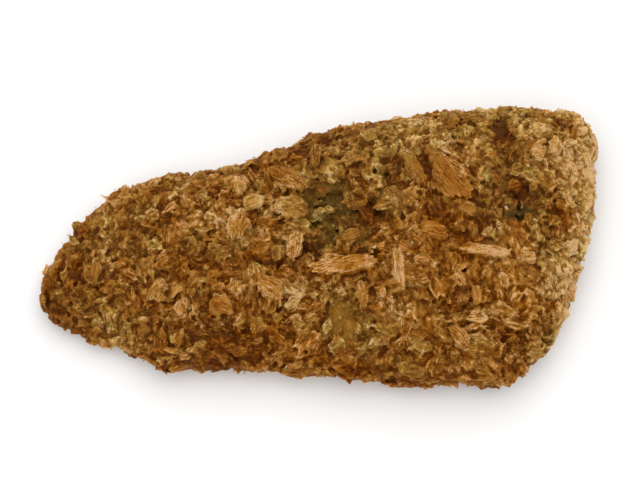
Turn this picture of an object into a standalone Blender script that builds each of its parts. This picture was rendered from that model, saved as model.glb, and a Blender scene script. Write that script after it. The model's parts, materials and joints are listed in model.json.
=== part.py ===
"""Fried fish fillet in a coarse crumb crust: one solid, lying on its flat side.

The piece is the tail half of a fillet. Its thin, round tail points to -X and its thick cut end
to +X, and the side that is shown faces +Z. The table is Z = 0, and the origin is on the table
under the middle of the piece.
"""

import math
import random
from dataclasses import dataclass

import bmesh
import bpy
import numpy as np
from mathutils import Matrix, Vector, noise
from mathutils.bvhtree import BVHTree

MM = 0.001

# Driving dimensions of the fillet, without the flakes that stand out of its crust.
LENGTH = 138.2 * MM
WIDTH = 70.2 * MM
TAIL_HEIGHT = 9.5 * MM
THICK_HEIGHT = 18.3 * MM
THICKEST_AT = 0.70  # share of the length, from the tail
CUT_END_DROP = 2.0 * MM  # how much lower the cut end is than the thickest place
RIM_SHARE = 0.60  # height of the side wall's top, as a share of the height above it
CROWN_REACH = 24.0 * MM  # distance from the edge at which the top is level
CROWN_POWER = 2.3
TUCK = 2.4 * MM  # height to which the underside rises at the edge
TUCK_REACH = 8.0 * MM
FOOT_HEIGHT = 0.3 * MM  # what lies lower than this is level, and rests on the table
EDGE_ROUND = 4.0 * MM
EDGE_STEPS = 4
EDGE_ANGLE = math.radians(60)  # corners of the slab sharper than this are rounded

# Sizes of the net of faces and of the crust's relief.
SLAB_HEIGHT = 11.0 * MM
FACE_SIZE = 0.9 * MM
TRIANGLES = 9000
SWELL_SIZE = 26.0 * MM
SWELL_DEPTH = 0.8 * MM
RELIEF_FADE = 3.0 * MM  # height above the foot at which the relief is whole
SPAN_STEPS = 6  # points of the smooth outline between two of its own points
PLATE_WARP = 0.45  # how far the plates' seams wander, as a share of a plate
PLATE_WARP_RATE = 1.6
STEP_SPREAD = 7.3  # how far apart neighbouring plates read the noise for their step
TILT_SPREAD = 5.1  # and for their tilt

# Coarse flakes of crumb. Pairs are the lower and upper limits of what varies from flake to flake.
FLAKE_SIDES = 9
FLAKE_KEEL = 2.0 * MM  # how far a flake reaches down into the crust
KEEL_SHARE = 0.9  # width of the keel's end, as a share of the rim's
FLAKE_SHIFT = (-0.2, 0.2)  # of a corner round the rim, as a share of one side
FLAKE_REACH = (0.78, 1.06)  # of the rim's corners, as a share of the half length or half width
FLAKE_TOP = (0.62, 0.80)  # of the upper face's corners, as a share of the rim's
FLAKE_LEVEL = (0.8, 1.1)  # of those corners' height, as a share of the lift
FLAKE_BEND = (-0.25, 0.25)  # sideways bend of the ends, as a share of the half width
UPRIGHT_PULL = 2.0  # how much a seat on the top leans to the vertical
SEED = 11
RIM_FLAKES = 70
RIM_FLAKE_SHIFT = (0.1, 0.9)  # place of a flake in its own stretch of the outline
RIM_FLAKE_LENGTH = (3.5, 7.0)  # millimetres, as in the list of flakes below
RIM_FLAKE_SLENDERNESS = (0.45, 0.70)
RIM_FLAKE_TURN = (-40, 40)
RIM_FLAKE_LIFT = (0.6, 1.3)
RIM_FLAKE_LEVEL = (0.22, 0.55)  # share of the height at which it sits on the side wall
FAR = 60.0 * MM  # farther out than any point of the fillet's skin

# The outline seen from above, in millimetres, counter-clockwise from the tail's tip.
LOWER_EDGE = (
    (-69, -16), (-63.5, -21), (-52.5, -25.4), (-42, -28.8), (-37, -31.6), (-28, -31.3),
    (-20, -31.2), (-14, -31.8), (-9.5, -31), (-4, -33.6), (10, -34.6), (24, -35.2),
    (40, -36), (45.5, -36),
)
CUT_END = (
    (49.3, -32), (55.8, -27.5), (59, -21), (62.8, -11.5), (65.3, -3), (68, 4), (69.2, 13),
    (69.6, 21), (70.2, 26), (68.3, 32),
)
UPPER_EDGE = (
    (64.5, 35.2), (55, 35.8), (42, 35.9), (30, 34.8), (15, 32.8), (0, 28.8), (-12, 24.4),
    (-22, 20.7), (-34, 19.2), (-44.5, 17.6), (-52.5, 13), (-60.5, 6.5), (-66, -0.7),
    (-67.8, -5.2), (-69.8, -11),
)


@dataclass(frozen=True)
class Plates:
    """One size of the crumbs that lie over the crust like tilted plates."""

    size: float
    step: float  # how far plates lie above or below each other
    tilt: float  # rise of a plate for each length along it
    seam_width: float  # share of a plate that dips towards its neighbour
    seam_depth: float


COARSE_PLATES = Plates(6.4 * MM, 1.1 * MM, 0.28, 0.2, 0.45 * MM)
FINE_PLATES = Plates(3.0 * MM, 0.8 * MM, 0.3, 0.2, 0.3 * MM)


@dataclass(frozen=True)
class Hollow:
    """A place where the crust is thin or gone. Millimetres, and degrees from +X."""

    x: float
    y: float
    length: float
    width: float
    turn: float
    depth: float


@dataclass(frozen=True)
class Flake:
    """A flat crumb on the crust. Millimetres, and degrees from +X."""

    x: float
    y: float
    length: float
    width: float
    turn: float
    lift: float = 1.1


HOLLOWS = (
    Hollow(1.9, 6.6, 16, 10, 85, 1.3),  # bare skin above the long shard
    Hollow(3.4, -21.2, 16, 12, 95, 1.1),  # bare flesh below the long shard
    Hollow(49, 7.9, 9, 8, 0, 1.5),  # glossy pit near the cut end
    Hollow(-2.5, -3.6, 8, 6, 0, 1.0),
    Hollow(-29.5, -6.2, 8, 6, 70, 1.0),
    Hollow(33.5, -18.6, 8, 6, 0, 1.0),
    Hollow(54, -25, 10, 5, 10, 1.0),
    Hollow(45, 28.6, 8, 4, 100, 1.2),
    Hollow(-64.5, -8.5, 7, 7, 0, 1.0),  # split in the tail
)

FLAKES = (
    Flake(4.7, -7.6, 18.5, 6, 8, 1.7),  # the long shard
    Flake(31.8, 14, 15, 10.5, -50, 1.4),  # the broadest flake
    Flake(27.7, 19.3, 5, 4, 30),
    Flake(22, 17, 13, 5, -62, 1.5),
    Flake(-20.5, 2.6, 10, 6, 75, 1.6),
    Flake(-8.4, 14.4, 13, 6.5, -32, 1.5),
    Flake(-7.9, 6.7, 11, 8, 3),
    Flake(-16.7, 8.7, 6.5, 5, 20),
    Flake(-20.1, 13.7, 6.5, 5.5, 88),
    Flake(-1.6, 21, 8.5, 3.2, 85),
    Flake(-6.6, -2.8, 8.5, 5, 75, 1.3),
    Flake(6.9, -0.4, 5.5, 4.5, 20),
    Flake(9.8, -14.6, 7.5, 4, 100, 1.4),
    Flake(18.3, -8.3, 12, 4, 95, 1.4),
    Flake(16.7, 8.9, 6, 4, -45),
    Flake(-24, -17.2, 7.5, 6, -20, 1.4),
    Flake(-12.2, -12.8, 9, 6, -30),
    Flake(38.9, -4.1, 13.5, 3.6, -5, 1.5),
    Flake(49.7, -5.6, 4.5, 3.4, 0),
    Flake(32.4, -24.6, 8, 4.5, -45, 1.3),
    Flake(26.7, 1, 9, 5.5, -15),
    Flake(35.3, 6.3, 6, 4.5, -15),
    Flake(32.8, -11, 5, 4, -60),
    Flake(-39.5, -13, 7, 5, 60, 1.4),
    Flake(-38.6, -6, 5.5, 4, 45),
    Flake(57.3, 23, 6.5, 4, 88, 1.3),
    Flake(52.8, 21, 5, 4.5, 0),
    Flake(46.6, 12.2, 4.5, 3.8, 20),
    Flake(-55, -7.5, 5, 3.5, 80),
)

CRUST_COLOUR = (0.228, 0.094, 0.021, 1.0)
CRUST_ROUGHNESS = 0.55


def clear_scene() -> None:
    """Remove every object of the open scene."""
    for obj in list(bpy.data.objects):
        bpy.data.objects.remove(obj, do_unlink=True)


def smooth_outline() -> np.ndarray:
    """Return a smooth closed curve through the outline's points, scaled to LENGTH and WIDTH."""
    knots = np.array(LOWER_EDGE + CUT_END + UPPER_EDGE, float)
    before, after, second = (np.roll(knots, shift, axis=0) for shift in (1, -1, -2))
    steps = np.arange(SPAN_STEPS)[:, None, None] / SPAN_STEPS
    curve = 0.5 * (
        2 * knots
        + (after - before) * steps
        + (2 * before - 5 * knots + 4 * after - second) * steps**2
        + (3 * knots - before - 3 * after + second) * steps**3
    )
    points = curve.transpose(1, 0, 2).reshape(-1, 2)
    low, high = points.min(axis=0), points.max(axis=0)
    return (points - (low + high) / 2) * np.array([LENGTH, WIDTH]) / (high - low)


def object_from_bmesh(name: str, bm: bmesh.types.BMesh) -> bpy.types.Object:
    """Put a bmesh into a new object of the scene."""
    mesh = bpy.data.meshes.new(name)
    bm.to_mesh(mesh)
    bm.free()
    obj = bpy.data.objects.new(name, mesh)
    bpy.context.scene.collection.objects.link(obj)
    return obj


def apply_modifiers(obj: bpy.types.Object) -> None:
    """Replace an object's mesh by the mesh that its modifiers make of it."""
    graph = bpy.context.evaluated_depsgraph_get()
    mesh = bpy.data.meshes.new_from_object(obj.evaluated_get(graph))
    obj.modifiers.clear()
    obj.data = mesh


def add_even_faces(obj: bpy.types.Object) -> None:
    """Give an object a modifier that makes one closed skin of small, even faces of it."""
    remesh = obj.modifiers.new("even_faces", "REMESH")
    remesh.mode = "VOXEL"
    remesh.voxel_size = FACE_SIZE


def make_slab(outline: np.ndarray) -> bpy.types.Object:
    """Extrude the outline to a slab with round edges and an even net of faces."""
    bm = bmesh.new()
    face = bm.faces.new([bm.verts.new((x, y, 0.0)) for x, y in outline])
    top = bmesh.ops.extrude_face_region(bm, geom=[face])["geom"]
    raised = [item for item in top if isinstance(item, bmesh.types.BMVert)]
    bmesh.ops.translate(bm, verts=raised, vec=(0, 0, SLAB_HEIGHT))
    bmesh.ops.recalc_face_normals(bm, faces=bm.faces)
    slab = object_from_bmesh("breaded_fillet", bm)
    bevel = slab.modifiers.new("round_edges", "BEVEL")
    bevel.width = EDGE_ROUND
    bevel.segments = EDGE_STEPS
    bevel.limit_method = "ANGLE"
    bevel.angle_limit = EDGE_ANGLE
    add_even_faces(slab)
    apply_modifiers(slab)
    return slab


def distance_inside(points: np.ndarray, outline: np.ndarray) -> np.ndarray:
    """Return the distance from each (x, y) to the nearest stretch of the outline."""
    start = outline
    span = np.roll(outline, -1, axis=0) - start
    offset = points[:, None, :] - start
    share = np.clip((offset * span).sum(axis=2) / (span**2).sum(axis=1), 0, 1)
    return np.linalg.norm(offset - share[..., None] * span, axis=2).min(axis=1)


def height_along(x: np.ndarray) -> np.ndarray:
    """Return the height of the crown at each place along the fillet."""
    along = np.clip(x / LENGTH + 0.5, 0, 1)
    growth = np.sin(np.minimum(along / THICKEST_AT, 1) * math.pi / 2)
    past = np.clip((along - THICKEST_AT) / (1 - THICKEST_AT), 0, 1)
    return TAIL_HEIGHT + (THICK_HEIGHT - TAIL_HEIGHT) * growth - CUT_END_DROP * past**2


def hollow_depth(x: np.ndarray, y: np.ndarray) -> np.ndarray:
    """Return how far the hollows lower the top at each (x, y)."""
    depth = np.zeros_like(x)
    for hollow in HOLLOWS:
        turn = math.radians(hollow.turn)
        east, north = x - hollow.x * MM, y - hollow.y * MM
        along = (east * math.cos(turn) + north * math.sin(turn)) / (hollow.length * MM / 2)
        across = (north * math.cos(turn) - east * math.sin(turn)) / (hollow.width * MM / 2)
        spread = along**4 + across**4
        depth = np.maximum(depth, hollow.depth * MM * np.exp(-spread))
    return depth


def plate_relief(place: Vector, plates: Plates) -> float:
    """Return the height of the plates of one size at a place."""
    spot = place / plates.size
    warped = spot + PLATE_WARP * noise.noise_vector(spot * PLATE_WARP_RATE)
    distances, centres = noise.voronoi(warped)
    step = noise.noise(centres[0] * STEP_SPREAD)
    tilt = noise.noise_vector(centres[0] * TILT_SPREAD)
    seam = max(0.0, 1 - (distances[1] - distances[0]) / plates.seam_width)
    slope = plates.tilt * plates.size * tilt.dot(warped - centres[0])
    return plates.step * step + slope - plates.seam_depth * seam


def crumb_relief(place: Vector) -> float:
    """Return the crust's relief at a place: two sizes of plates on a slow swell."""
    swell = SWELL_DEPTH * noise.noise(place / SWELL_SIZE)
    return swell + plate_relief(place, COARSE_PLATES) + plate_relief(place, FINE_PLATES)


def vertex_values(mesh: bpy.types.Mesh, name: str) -> np.ndarray:
    """Return one three-part value of every vertex, such as its place or its normal."""
    values = np.empty(len(mesh.vertices) * 3)
    mesh.vertices.foreach_get(name, values)
    return values.reshape(-1, 3)


def place_vertices(mesh: bpy.types.Mesh, points: np.ndarray) -> None:
    """Move every vertex of a mesh to its point."""
    mesh.vertices.foreach_set("co", points.ravel())
    mesh.update()


def level_foot(fillet: bpy.types.Object) -> None:
    """Bring all that lies lower than the foot's height down to the table."""
    points = vertex_values(fillet.data, "co")
    points[points[:, 2] < FOOT_HEIGHT, 2] = 0.0
    place_vertices(fillet.data, points)


def shape_crown(fillet: bpy.types.Object, outline: np.ndarray) -> None:
    """Turn the even slab into a smooth fillet with a crown, a tucked edge and hollows."""
    points = vertex_values(fillet.data, "co")
    level = np.clip(points[:, 2] / SLAB_HEIGHT, 0, 1)
    inset = distance_inside(points[:, :2], outline)
    crown = 1 - (1 - np.clip(inset / CROWN_REACH, 0, 1)) ** CROWN_POWER
    top = height_along(points[:, 0]) * (RIM_SHARE + (1 - RIM_SHARE) * crown)
    bottom = TUCK * (1 - np.clip(inset / TUCK_REACH, 0, 1)) ** 2
    points[:, 2] = bottom + level * (top - bottom - hollow_depth(points[:, 0], points[:, 1]))
    place_vertices(fillet.data, points)


def roughen(fillet: bpy.types.Object) -> None:
    """Give the smooth fillet the relief of its crumb crust, all over but for its foot."""
    points = vertex_values(fillet.data, "co")
    relief = np.array([crumb_relief(Vector(point)) for point in points])
    fade = np.clip((points[:, 2] - FOOT_HEIGHT) / RELIEF_FADE, 0, 1)
    outward = vertex_values(fillet.data, "normal")
    place_vertices(fillet.data, points + outward * (relief * fade)[:, None])
    level_foot(fillet)


def flake_rings(flake: Flake, rng: random.Random) -> list[list[Vector]]:
    """Return the corners of a flake's keel, rim and upper face, round its own centre."""
    half_length, half_width = flake.length * MM / 2, flake.width * MM / 2
    bend = rng.uniform(*FLAKE_BEND) * half_width
    keel, rim, upper = [], [], []
    for side in range(FLAKE_SIDES):
        angle = 2 * math.pi * (side + rng.uniform(*FLAKE_SHIFT)) / FLAKE_SIDES
        reach = rng.uniform(*FLAKE_REACH)
        along, across = reach * math.cos(angle), reach * math.sin(angle)
        corner = Vector((half_length * along, half_width * across + bend * along**2, 0))
        rim.append(corner)
        keel.append(KEEL_SHARE * corner - Vector((0, 0, FLAKE_KEEL)))
        height = flake.lift * MM * rng.uniform(*FLAKE_LEVEL)
        upper.append(rng.uniform(*FLAKE_TOP) * corner + Vector((0, 0, height)))
    return [keel, rim, upper]


def add_flake(bm: bmesh.types.BMesh, flake: Flake, seat: Matrix, rng: random.Random) -> None:
    """Add one flake: a jagged plate with bevelled rims, on a keel that ends in the crust.

    Args:
        bm: The mesh that the flake is added to.
        flake: The flake's size, turn and lift.
        seat: Where it sits, with Z out of the crust.
        rng: Source of the jagged rim.
    """
    turned = seat @ Matrix.Rotation(math.radians(flake.turn), 4, "Z")
    rings = [
        [bm.verts.new(turned @ corner) for corner in ring] for ring in flake_rings(flake, rng)
    ]
    for low, high in zip(rings, rings[1:]):
        for side in range(FLAKE_SIDES):
            following = (side + 1) % FLAKE_SIDES
            bm.faces.new((low[side], low[following], high[following], high[side]))
    bottom = bm.verts.new(turned @ Vector((0, 0, -FLAKE_KEEL)))
    top = bm.verts.new(turned @ Vector((0, 0, flake.lift * MM)))
    for side in range(FLAKE_SIDES):
        following = (side + 1) % FLAKE_SIDES
        bm.faces.new((rings[0][following], rings[0][side], bottom))
        bm.faces.new((rings[-1][side], rings[-1][following], top))


def frame_at(place: Vector, level: Vector, normal: Vector) -> Matrix:
    """Return the frame at a place with X along level and Z along normal."""
    axes = Matrix((level, normal.cross(level), normal)).transposed()
    return Matrix.Translation(place) @ axes.to_4x4()


def seat_named_flakes(bm: bmesh.types.BMesh, tree: BVHTree, rng: random.Random) -> None:
    """Set the listed flakes into the top."""
    for flake in FLAKES:
        above = Vector((flake.x * MM, flake.y * MM, FAR))
        place, normal, _, _ = tree.ray_cast(above, Vector((0, 0, -1)))
        if place is not None:
            upward = (normal + Vector((0, 0, UPRIGHT_PULL))).normalized()
            level = Vector((0, 1, 0)).cross(upward).normalized()
            add_flake(bm, flake, frame_at(place, level, upward), rng)


def seat_rim_flakes(
    bm: bmesh.types.BMesh, tree: BVHTree, outline: np.ndarray, rng: random.Random
) -> None:
    """Set flakes into the side wall, all round, so that the rim is ragged."""
    for number in range(RIM_FLAKES):
        index = int(len(outline) * (number + rng.uniform(*RIM_FLAKE_SHIFT)) / RIM_FLAKES)
        ahead = outline[(index + 1) % len(outline)] - outline[index]
        outward = Vector((ahead[1], -ahead[0], 0)).normalized()
        height = float(height_along(outline[index, 0])) * rng.uniform(*RIM_FLAKE_LEVEL)
        outside = Vector((*outline[index], height)) + outward * FAR
        place, normal, _, _ = tree.ray_cast(outside, -outward)
        if place is None:
            continue
        length = rng.uniform(*RIM_FLAKE_LENGTH)
        width = length * rng.uniform(*RIM_FLAKE_SLENDERNESS)
        turn = rng.uniform(*RIM_FLAKE_TURN)
        flake = Flake(0, 0, length, width, turn, rng.uniform(*RIM_FLAKE_LIFT))
        facing = (normal + outward).normalized()
        level = Vector((0, 0, 1)).cross(facing).normalized()
        add_flake(bm, flake, frame_at(place, level, facing), rng)


def seat_flakes(fillet: bpy.types.Object, tree: BVHTree, outline: np.ndarray) -> None:
    """Set all coarse flakes into the fillet: the named ones, and some all round the rim.

    Args:
        fillet: The rough fillet, which gets the flakes.
        tree: The smooth fillet's skin, on which the flakes are seated.
        outline: The fillet's outline seen from above.
    """
    rng = random.Random(SEED)
    bm = bmesh.new()
    bm.from_mesh(fillet.data)
    seat_named_flakes(bm, tree, rng)
    seat_rim_flakes(bm, tree, outline, rng)
    bm.to_mesh(fillet.data)
    bm.free()


def join_into_one_skin(fillet: bpy.types.Object) -> None:
    """Make one closed skin of the fillet and its flakes, with few faces where it is flat."""
    add_even_faces(fillet)
    apply_modifiers(fillet)
    level_foot(fillet)
    fillet.data.calc_loop_triangles()
    decimate = fillet.modifiers.new("fewer_faces", "DECIMATE")
    decimate.ratio = TRIANGLES / len(fillet.data.loop_triangles)
    decimate.use_collapse_triangulate = True
    apply_modifiers(fillet)
    level_foot(fillet)


def keep_largest_piece(fillet: bpy.types.Object) -> None:
    """Drop crumbs that touch nothing and pockets that the flakes shut in."""
    bm = bmesh.new()
    bm.from_mesh(fillet.data)
    unseen = set(bm.verts)
    pieces = []
    while unseen:
        front = [unseen.pop()]
        piece = list(front)
        while front:
            vert = front.pop()
            near = {edge.other_vert(vert) for edge in vert.link_edges} & unseen
            unseen -= near
            front.extend(near)
            piece.extend(near)
        pieces.append(piece)
    pieces.sort(key=len)
    bmesh.ops.delete(bm, geom=[vert for piece in pieces[:-1] for vert in piece], context="VERTS")
    bm.to_mesh(fillet.data)
    bm.free()


def centre_on_table(fillet: bpy.types.Object) -> None:
    """Put the middle of the fillet's box above the origin and its underside on the table."""
    points = vertex_values(fillet.data, "co")
    low, high = points.min(axis=0), points.max(axis=0)
    middle = (low + high) / 2
    place_vertices(fillet.data, points - np.array([middle[0], middle[1], low[2]]))


def crust_material() -> bpy.types.Material:
    """Return the plain golden-brown finish of the crust."""
    material = bpy.data.materials.new("fried_crust")
    material.use_nodes = True
    shader = material.node_tree.nodes["Principled BSDF"]
    shader.inputs["Base Color"].default_value = CRUST_COLOUR
    shader.inputs["Roughness"].default_value = CRUST_ROUGHNESS
    shader.inputs["Metallic"].default_value = 0.0
    material.diffuse_color = CRUST_COLOUR
    return material


def main() -> None:
    """Model the fillet as one object named breaded_fillet."""
    clear_scene()
    noise.seed_set(SEED)
    outline = smooth_outline()
    fillet = make_slab(outline)
    shape_crown(fillet, outline)
    smooth_skin = BVHTree.FromObject(fillet, bpy.context.evaluated_depsgraph_get())
    roughen(fillet)
    seat_flakes(fillet, smooth_skin, outline)
    join_into_one_skin(fillet)
    keep_largest_piece(fillet)
    centre_on_table(fillet)
    fillet.data.materials.clear()
    fillet.data.materials.append(crust_material())


if __name__ == "__main__":
    main()
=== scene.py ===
"""Fried fish fillet in a coarse crumb crust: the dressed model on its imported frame.

Torn crumbs of three grades and the large flakes that can be told apart are laid on a rough core
and matted with it into one crust, which is cut across into a few pieces. Slivers and fine crumbs
lie loose on top. All places are in the frame's own axes, with the tail towards -X, the thick cut
end towards +X, and the table at Z = 0.
"""

from __future__ import annotations

import json
import logging
import math
import random
from collections.abc import Iterator
from contextlib import contextmanager
from dataclasses import dataclass, field, fields, replace
from enum import Enum

import bmesh
import bpy
import numpy as np
from mathutils import Matrix, Vector, noise
from mathutils.bvhtree import BVHTree

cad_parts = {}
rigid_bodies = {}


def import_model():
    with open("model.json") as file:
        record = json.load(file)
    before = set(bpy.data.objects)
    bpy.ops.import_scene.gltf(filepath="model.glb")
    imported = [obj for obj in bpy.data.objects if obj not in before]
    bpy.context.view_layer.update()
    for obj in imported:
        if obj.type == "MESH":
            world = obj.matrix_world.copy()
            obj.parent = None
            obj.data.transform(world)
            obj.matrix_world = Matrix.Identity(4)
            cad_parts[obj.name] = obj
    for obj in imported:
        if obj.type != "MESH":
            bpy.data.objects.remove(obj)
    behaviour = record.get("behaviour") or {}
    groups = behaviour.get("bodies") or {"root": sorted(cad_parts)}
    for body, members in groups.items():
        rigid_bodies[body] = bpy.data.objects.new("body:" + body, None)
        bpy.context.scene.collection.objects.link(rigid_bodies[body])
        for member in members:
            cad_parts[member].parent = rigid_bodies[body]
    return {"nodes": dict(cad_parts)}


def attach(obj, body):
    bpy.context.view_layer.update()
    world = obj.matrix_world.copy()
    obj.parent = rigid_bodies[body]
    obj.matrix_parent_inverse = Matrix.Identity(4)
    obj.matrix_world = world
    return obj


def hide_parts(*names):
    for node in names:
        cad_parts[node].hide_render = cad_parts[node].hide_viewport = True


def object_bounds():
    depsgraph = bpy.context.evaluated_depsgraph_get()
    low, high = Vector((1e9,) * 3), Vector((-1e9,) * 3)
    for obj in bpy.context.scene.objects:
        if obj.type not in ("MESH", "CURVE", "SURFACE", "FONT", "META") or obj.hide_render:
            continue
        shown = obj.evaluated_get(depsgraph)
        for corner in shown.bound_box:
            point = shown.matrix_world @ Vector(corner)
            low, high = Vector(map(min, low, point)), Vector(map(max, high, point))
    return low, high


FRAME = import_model()
CAD_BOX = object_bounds()
CAD_NODE = "breaded_fillet"
BODY = "root"
MM = 0.001
SEED = 23
LOG = logging.getLogger("fried_fillet")

SHOWN_FROM = 4 * MM  # height above the table from which a place counts as part of the shown side
BARE_FROM = 5 * MM  # height from which a place may be bare
LOOSE_FROM = 3 * MM  # height from which loose crumbs can lie
BESIDE = 3 * MM  # height that is taken for places beside the fillet
BOX_SPARE = np.array([0.8, 0.6, 0.25]) * MM  # how far crumbs may stand out of the fillet's box
BOX_SOFT = np.array([1.2, 1.0, 0.5]) * MM  # length over which they are pressed back
OVAL_SHARE = 0.785  # share that an oval covers of the rectangle round it

Array = np.ndarray
Colour = tuple[float, float, float, float]
Generator = np.random.Generator
Object = bpy.types.Object
Socket = bpy.types.NodeSocket
Values = dict[str, Array]


# ---------------------------------------------------------------- hand tools


def deselect_all() -> None:
    """Leave no object selected."""
    bpy.ops.object.select_all(action="DESELECT")


def pick(piece: Object) -> None:
    """Make one object the only selected one and the active one.

    Args:
        piece: The object.
    """
    deselect_all()
    piece.select_set(True)
    bpy.context.view_layer.objects.active = piece


def link(piece: Object) -> Object:
    """Link a new object to the scene and return it."""
    bpy.context.scene.collection.objects.link(piece)
    return piece


def modify(piece: Object, kind: str, **settings: object) -> None:
    """Add one modifier of a kind to an object, with its settings, and apply it.

    Args:
        piece: The object.
        kind: The modifier's kind.
        settings: Its own properties, by their names.
    """
    pick(piece)
    modifier = piece.modifiers.new(kind.lower(), kind)
    for name, value in settings.items():
        setattr(modifier, name, value)
    bpy.ops.object.modifier_apply(modifier=modifier.name)


def remesh(piece: Object, net: float, rounds: int) -> None:
    """Give an object an even net of a size, and smooth it by some rounds."""
    modify(piece, "REMESH", mode="VOXEL", voxel_size=net)
    modify(piece, "SMOOTH", factor=0.5, iterations=rounds)


def select_net(chosen: bool = True) -> None:
    """Select all of the net that is being edited, or none of it."""
    bpy.ops.mesh.select_all(action="SELECT" if chosen else "DESELECT")


@contextmanager
def editing(piece: Object) -> Iterator[None]:
    """Hold an object in edit mode, with all of it selected at first.

    Args:
        piece: The object.

    Returns:
        A context that lasts as long as the object is edited.
    """
    pick(piece)
    bpy.ops.object.mode_set(mode="EDIT")
    select_net()
    yield
    bpy.ops.object.mode_set(mode="OBJECT")


def scale_selected(x: float, y: float, z: float = 1.0) -> None:
    """Scale what is selected about the origin, by a share along each axis."""
    bpy.ops.transform.resize(value=(x, y, z), center_override=(0, 0, 0))


def select_level(piece: Object, level: float, reach: float) -> None:
    """Select only the vertices whose Y lies near a level, in edit mode.

    Args:
        piece: The object in edit mode.
        level: The level's Y.
        reach: How far from it a vertex may lie.
    """
    select_net(False)
    net = bmesh.from_edit_mesh(piece.data)
    for vert in net.verts:
        vert.select_set(abs(vert.co.y - level) < reach)
    net.select_flush_mode()
    bmesh.update_edit_mesh(piece.data)


def read_vectors(items: bpy.types.bpy_prop_collection, name: str) -> Array:
    """Return one three-part value of every item of a mesh, one row for each.

    Args:
        items: The mesh's vertices, triangles or the like.
        name: The value's name.

    Returns:
        One row of three numbers for each item.
    """
    values = np.empty(len(items) * 3, np.float32)
    items.foreach_get(name, values)
    return values.reshape(-1, 3).astype(float)


def read_indices(items: bpy.types.bpy_prop_collection, name: str, each: int = 1) -> Array:
    """Return the indices that the items of a mesh hold, one row for each item.

    Args:
        items: The mesh's vertices, triangles or the like.
        name: The value's name.
        each: How many indices each item holds.

    Returns:
        One row of indices for each item.
    """
    indices = np.empty(len(items) * each, np.int32)
    items.foreach_get(name, indices)
    return indices.reshape(-1, each)


def read_triangles(mesh: bpy.types.Mesh) -> Array:
    """Return the corners' indices of every triangle of a mesh."""
    mesh.calc_loop_triangles()
    return read_indices(mesh.loop_triangles, "vertices", 3)


def move_points(mesh: bpy.types.Mesh, points: Array) -> None:
    """Put every vertex of a mesh at its point."""
    mesh.vertices.foreach_set("co", points.astype(np.float32).ravel())
    mesh.update()


def write_values(mesh: bpy.types.Mesh, name: str, values: Array) -> None:
    """Store a number or a vector with every vertex of a mesh.

    Args:
        mesh: The mesh that gets the attribute.
        name: The attribute's name, as the materials read it.
        values: One number or one row of three for each vertex.
    """
    vectors = values.ndim == 2
    kind = "FLOAT_VECTOR" if vectors else "FLOAT"
    attribute = mesh.attributes.new(name, kind, "POINT")
    attribute.data.foreach_set("vector" if vectors else "value", values.astype(np.float32).ravel())


def make_piece(
    name: str, points: Array, faces: Array, values: Values
) -> Object:
    """Make an object from a net.

    Args:
        name: The object's name.
        points: One row for each vertex, in metres.
        faces: The corners' indices, one row for each triangle or square.
        values: The numbers or vectors that are stored with the vertices, by their names.

    Returns:
        The object, linked to the scene.
    """
    mesh = bpy.data.meshes.new(name)
    mesh.vertices.add(len(points))
    mesh.loops.add(faces.size)
    mesh.loops.foreach_set("vertex_index", faces.astype(np.int32).ravel())
    mesh.polygons.add(len(faces))
    starts = np.arange(0, faces.size, faces.shape[1], dtype=np.int32)
    mesh.polygons.foreach_set("loop_start", starts)
    mesh.update(calc_edges=True)
    move_points(mesh, points)
    for value_name, rows in values.items():
        write_values(mesh, value_name, rows)
    return link(bpy.data.objects.new(name, mesh))


def unit(vectors: Array) -> Array:
    """Return every row as a vector of length 1."""
    return vectors / np.linalg.norm(vectors, axis=1)[:, None]


def spanned(first: Array, second: Array) -> Array:
    """Return the area that the vectors in every row span."""
    return np.linalg.norm(np.cross(first, second), axis=1)


def noise_at(points: Array, size: float, shift: float = 0.0) -> Array:
    """Return smooth noise between about -1 and 1 at every point.

    Args:
        points: One row for each point, in metres.
        size: Size of the noise's swells, in metres.
        shift: Moves the noise, so that two calls differ.
    """
    return np.array([noise.noise(Vector(point)) for point in points / size + shift])


def smooth_step(values: Array, low: float, high: float) -> Array:
    """Return 0 below low, 1 above high and a smooth slope between."""
    share = np.clip((values - low) / (high - low), 0, 1)
    return share * share * (3 - 2 * share)


def fit_in_box(points: Array) -> Array:
    """Press points that stand out of the fillet's box softly back to it.

    The crumbs that the fillet rests on are pressed towards the table in the same way.

    Args:
        points: One row for each point, in metres.

    Returns:
        The points, moved.
    """
    low, high = np.array(CAD_BOX[0]), np.array(CAD_BOX[1])
    over = np.maximum(points - (high + BOX_SPARE - BOX_SOFT), 0)
    points = points - over + BOX_SOFT * (1 - np.exp(-over / BOX_SOFT))
    under = np.maximum((low - BOX_SPARE * np.array([1, 1, 0]) + BOX_SOFT) - points, 0)
    return points + under - BOX_SOFT * (1 - np.exp(-under / BOX_SOFT))


# ------------------------------------------------------- places on the fillet


class Bare(Enum):
    """What shows where the crumb is gone."""

    SKIN = "skin"
    FLESH = "flesh"
    PIT = "pit"


@dataclass(frozen=True)
class Oval:
    """An oval place on the fillet, in millimetres, turned by degrees from +X."""

    x: float
    y: float
    length: float
    width: float
    turn: float = 0.0

    def radius(self, points: Array) -> Array:
        """Return 0 at the oval's middle, 1 on its line and more outside, for every point.

        Args:
            points: One row for each point, in metres.

        Returns:
            One number for each point.
        """
        turn = math.radians(self.turn)
        east, north = points[:, 0] / MM - self.x, points[:, 1] / MM - self.y
        along = (east * math.cos(turn) + north * math.sin(turn)) * 2 / self.length
        across = (north * math.cos(turn) - east * math.sin(turn)) * 2 / self.width
        return np.hypot(along, across)


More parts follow.
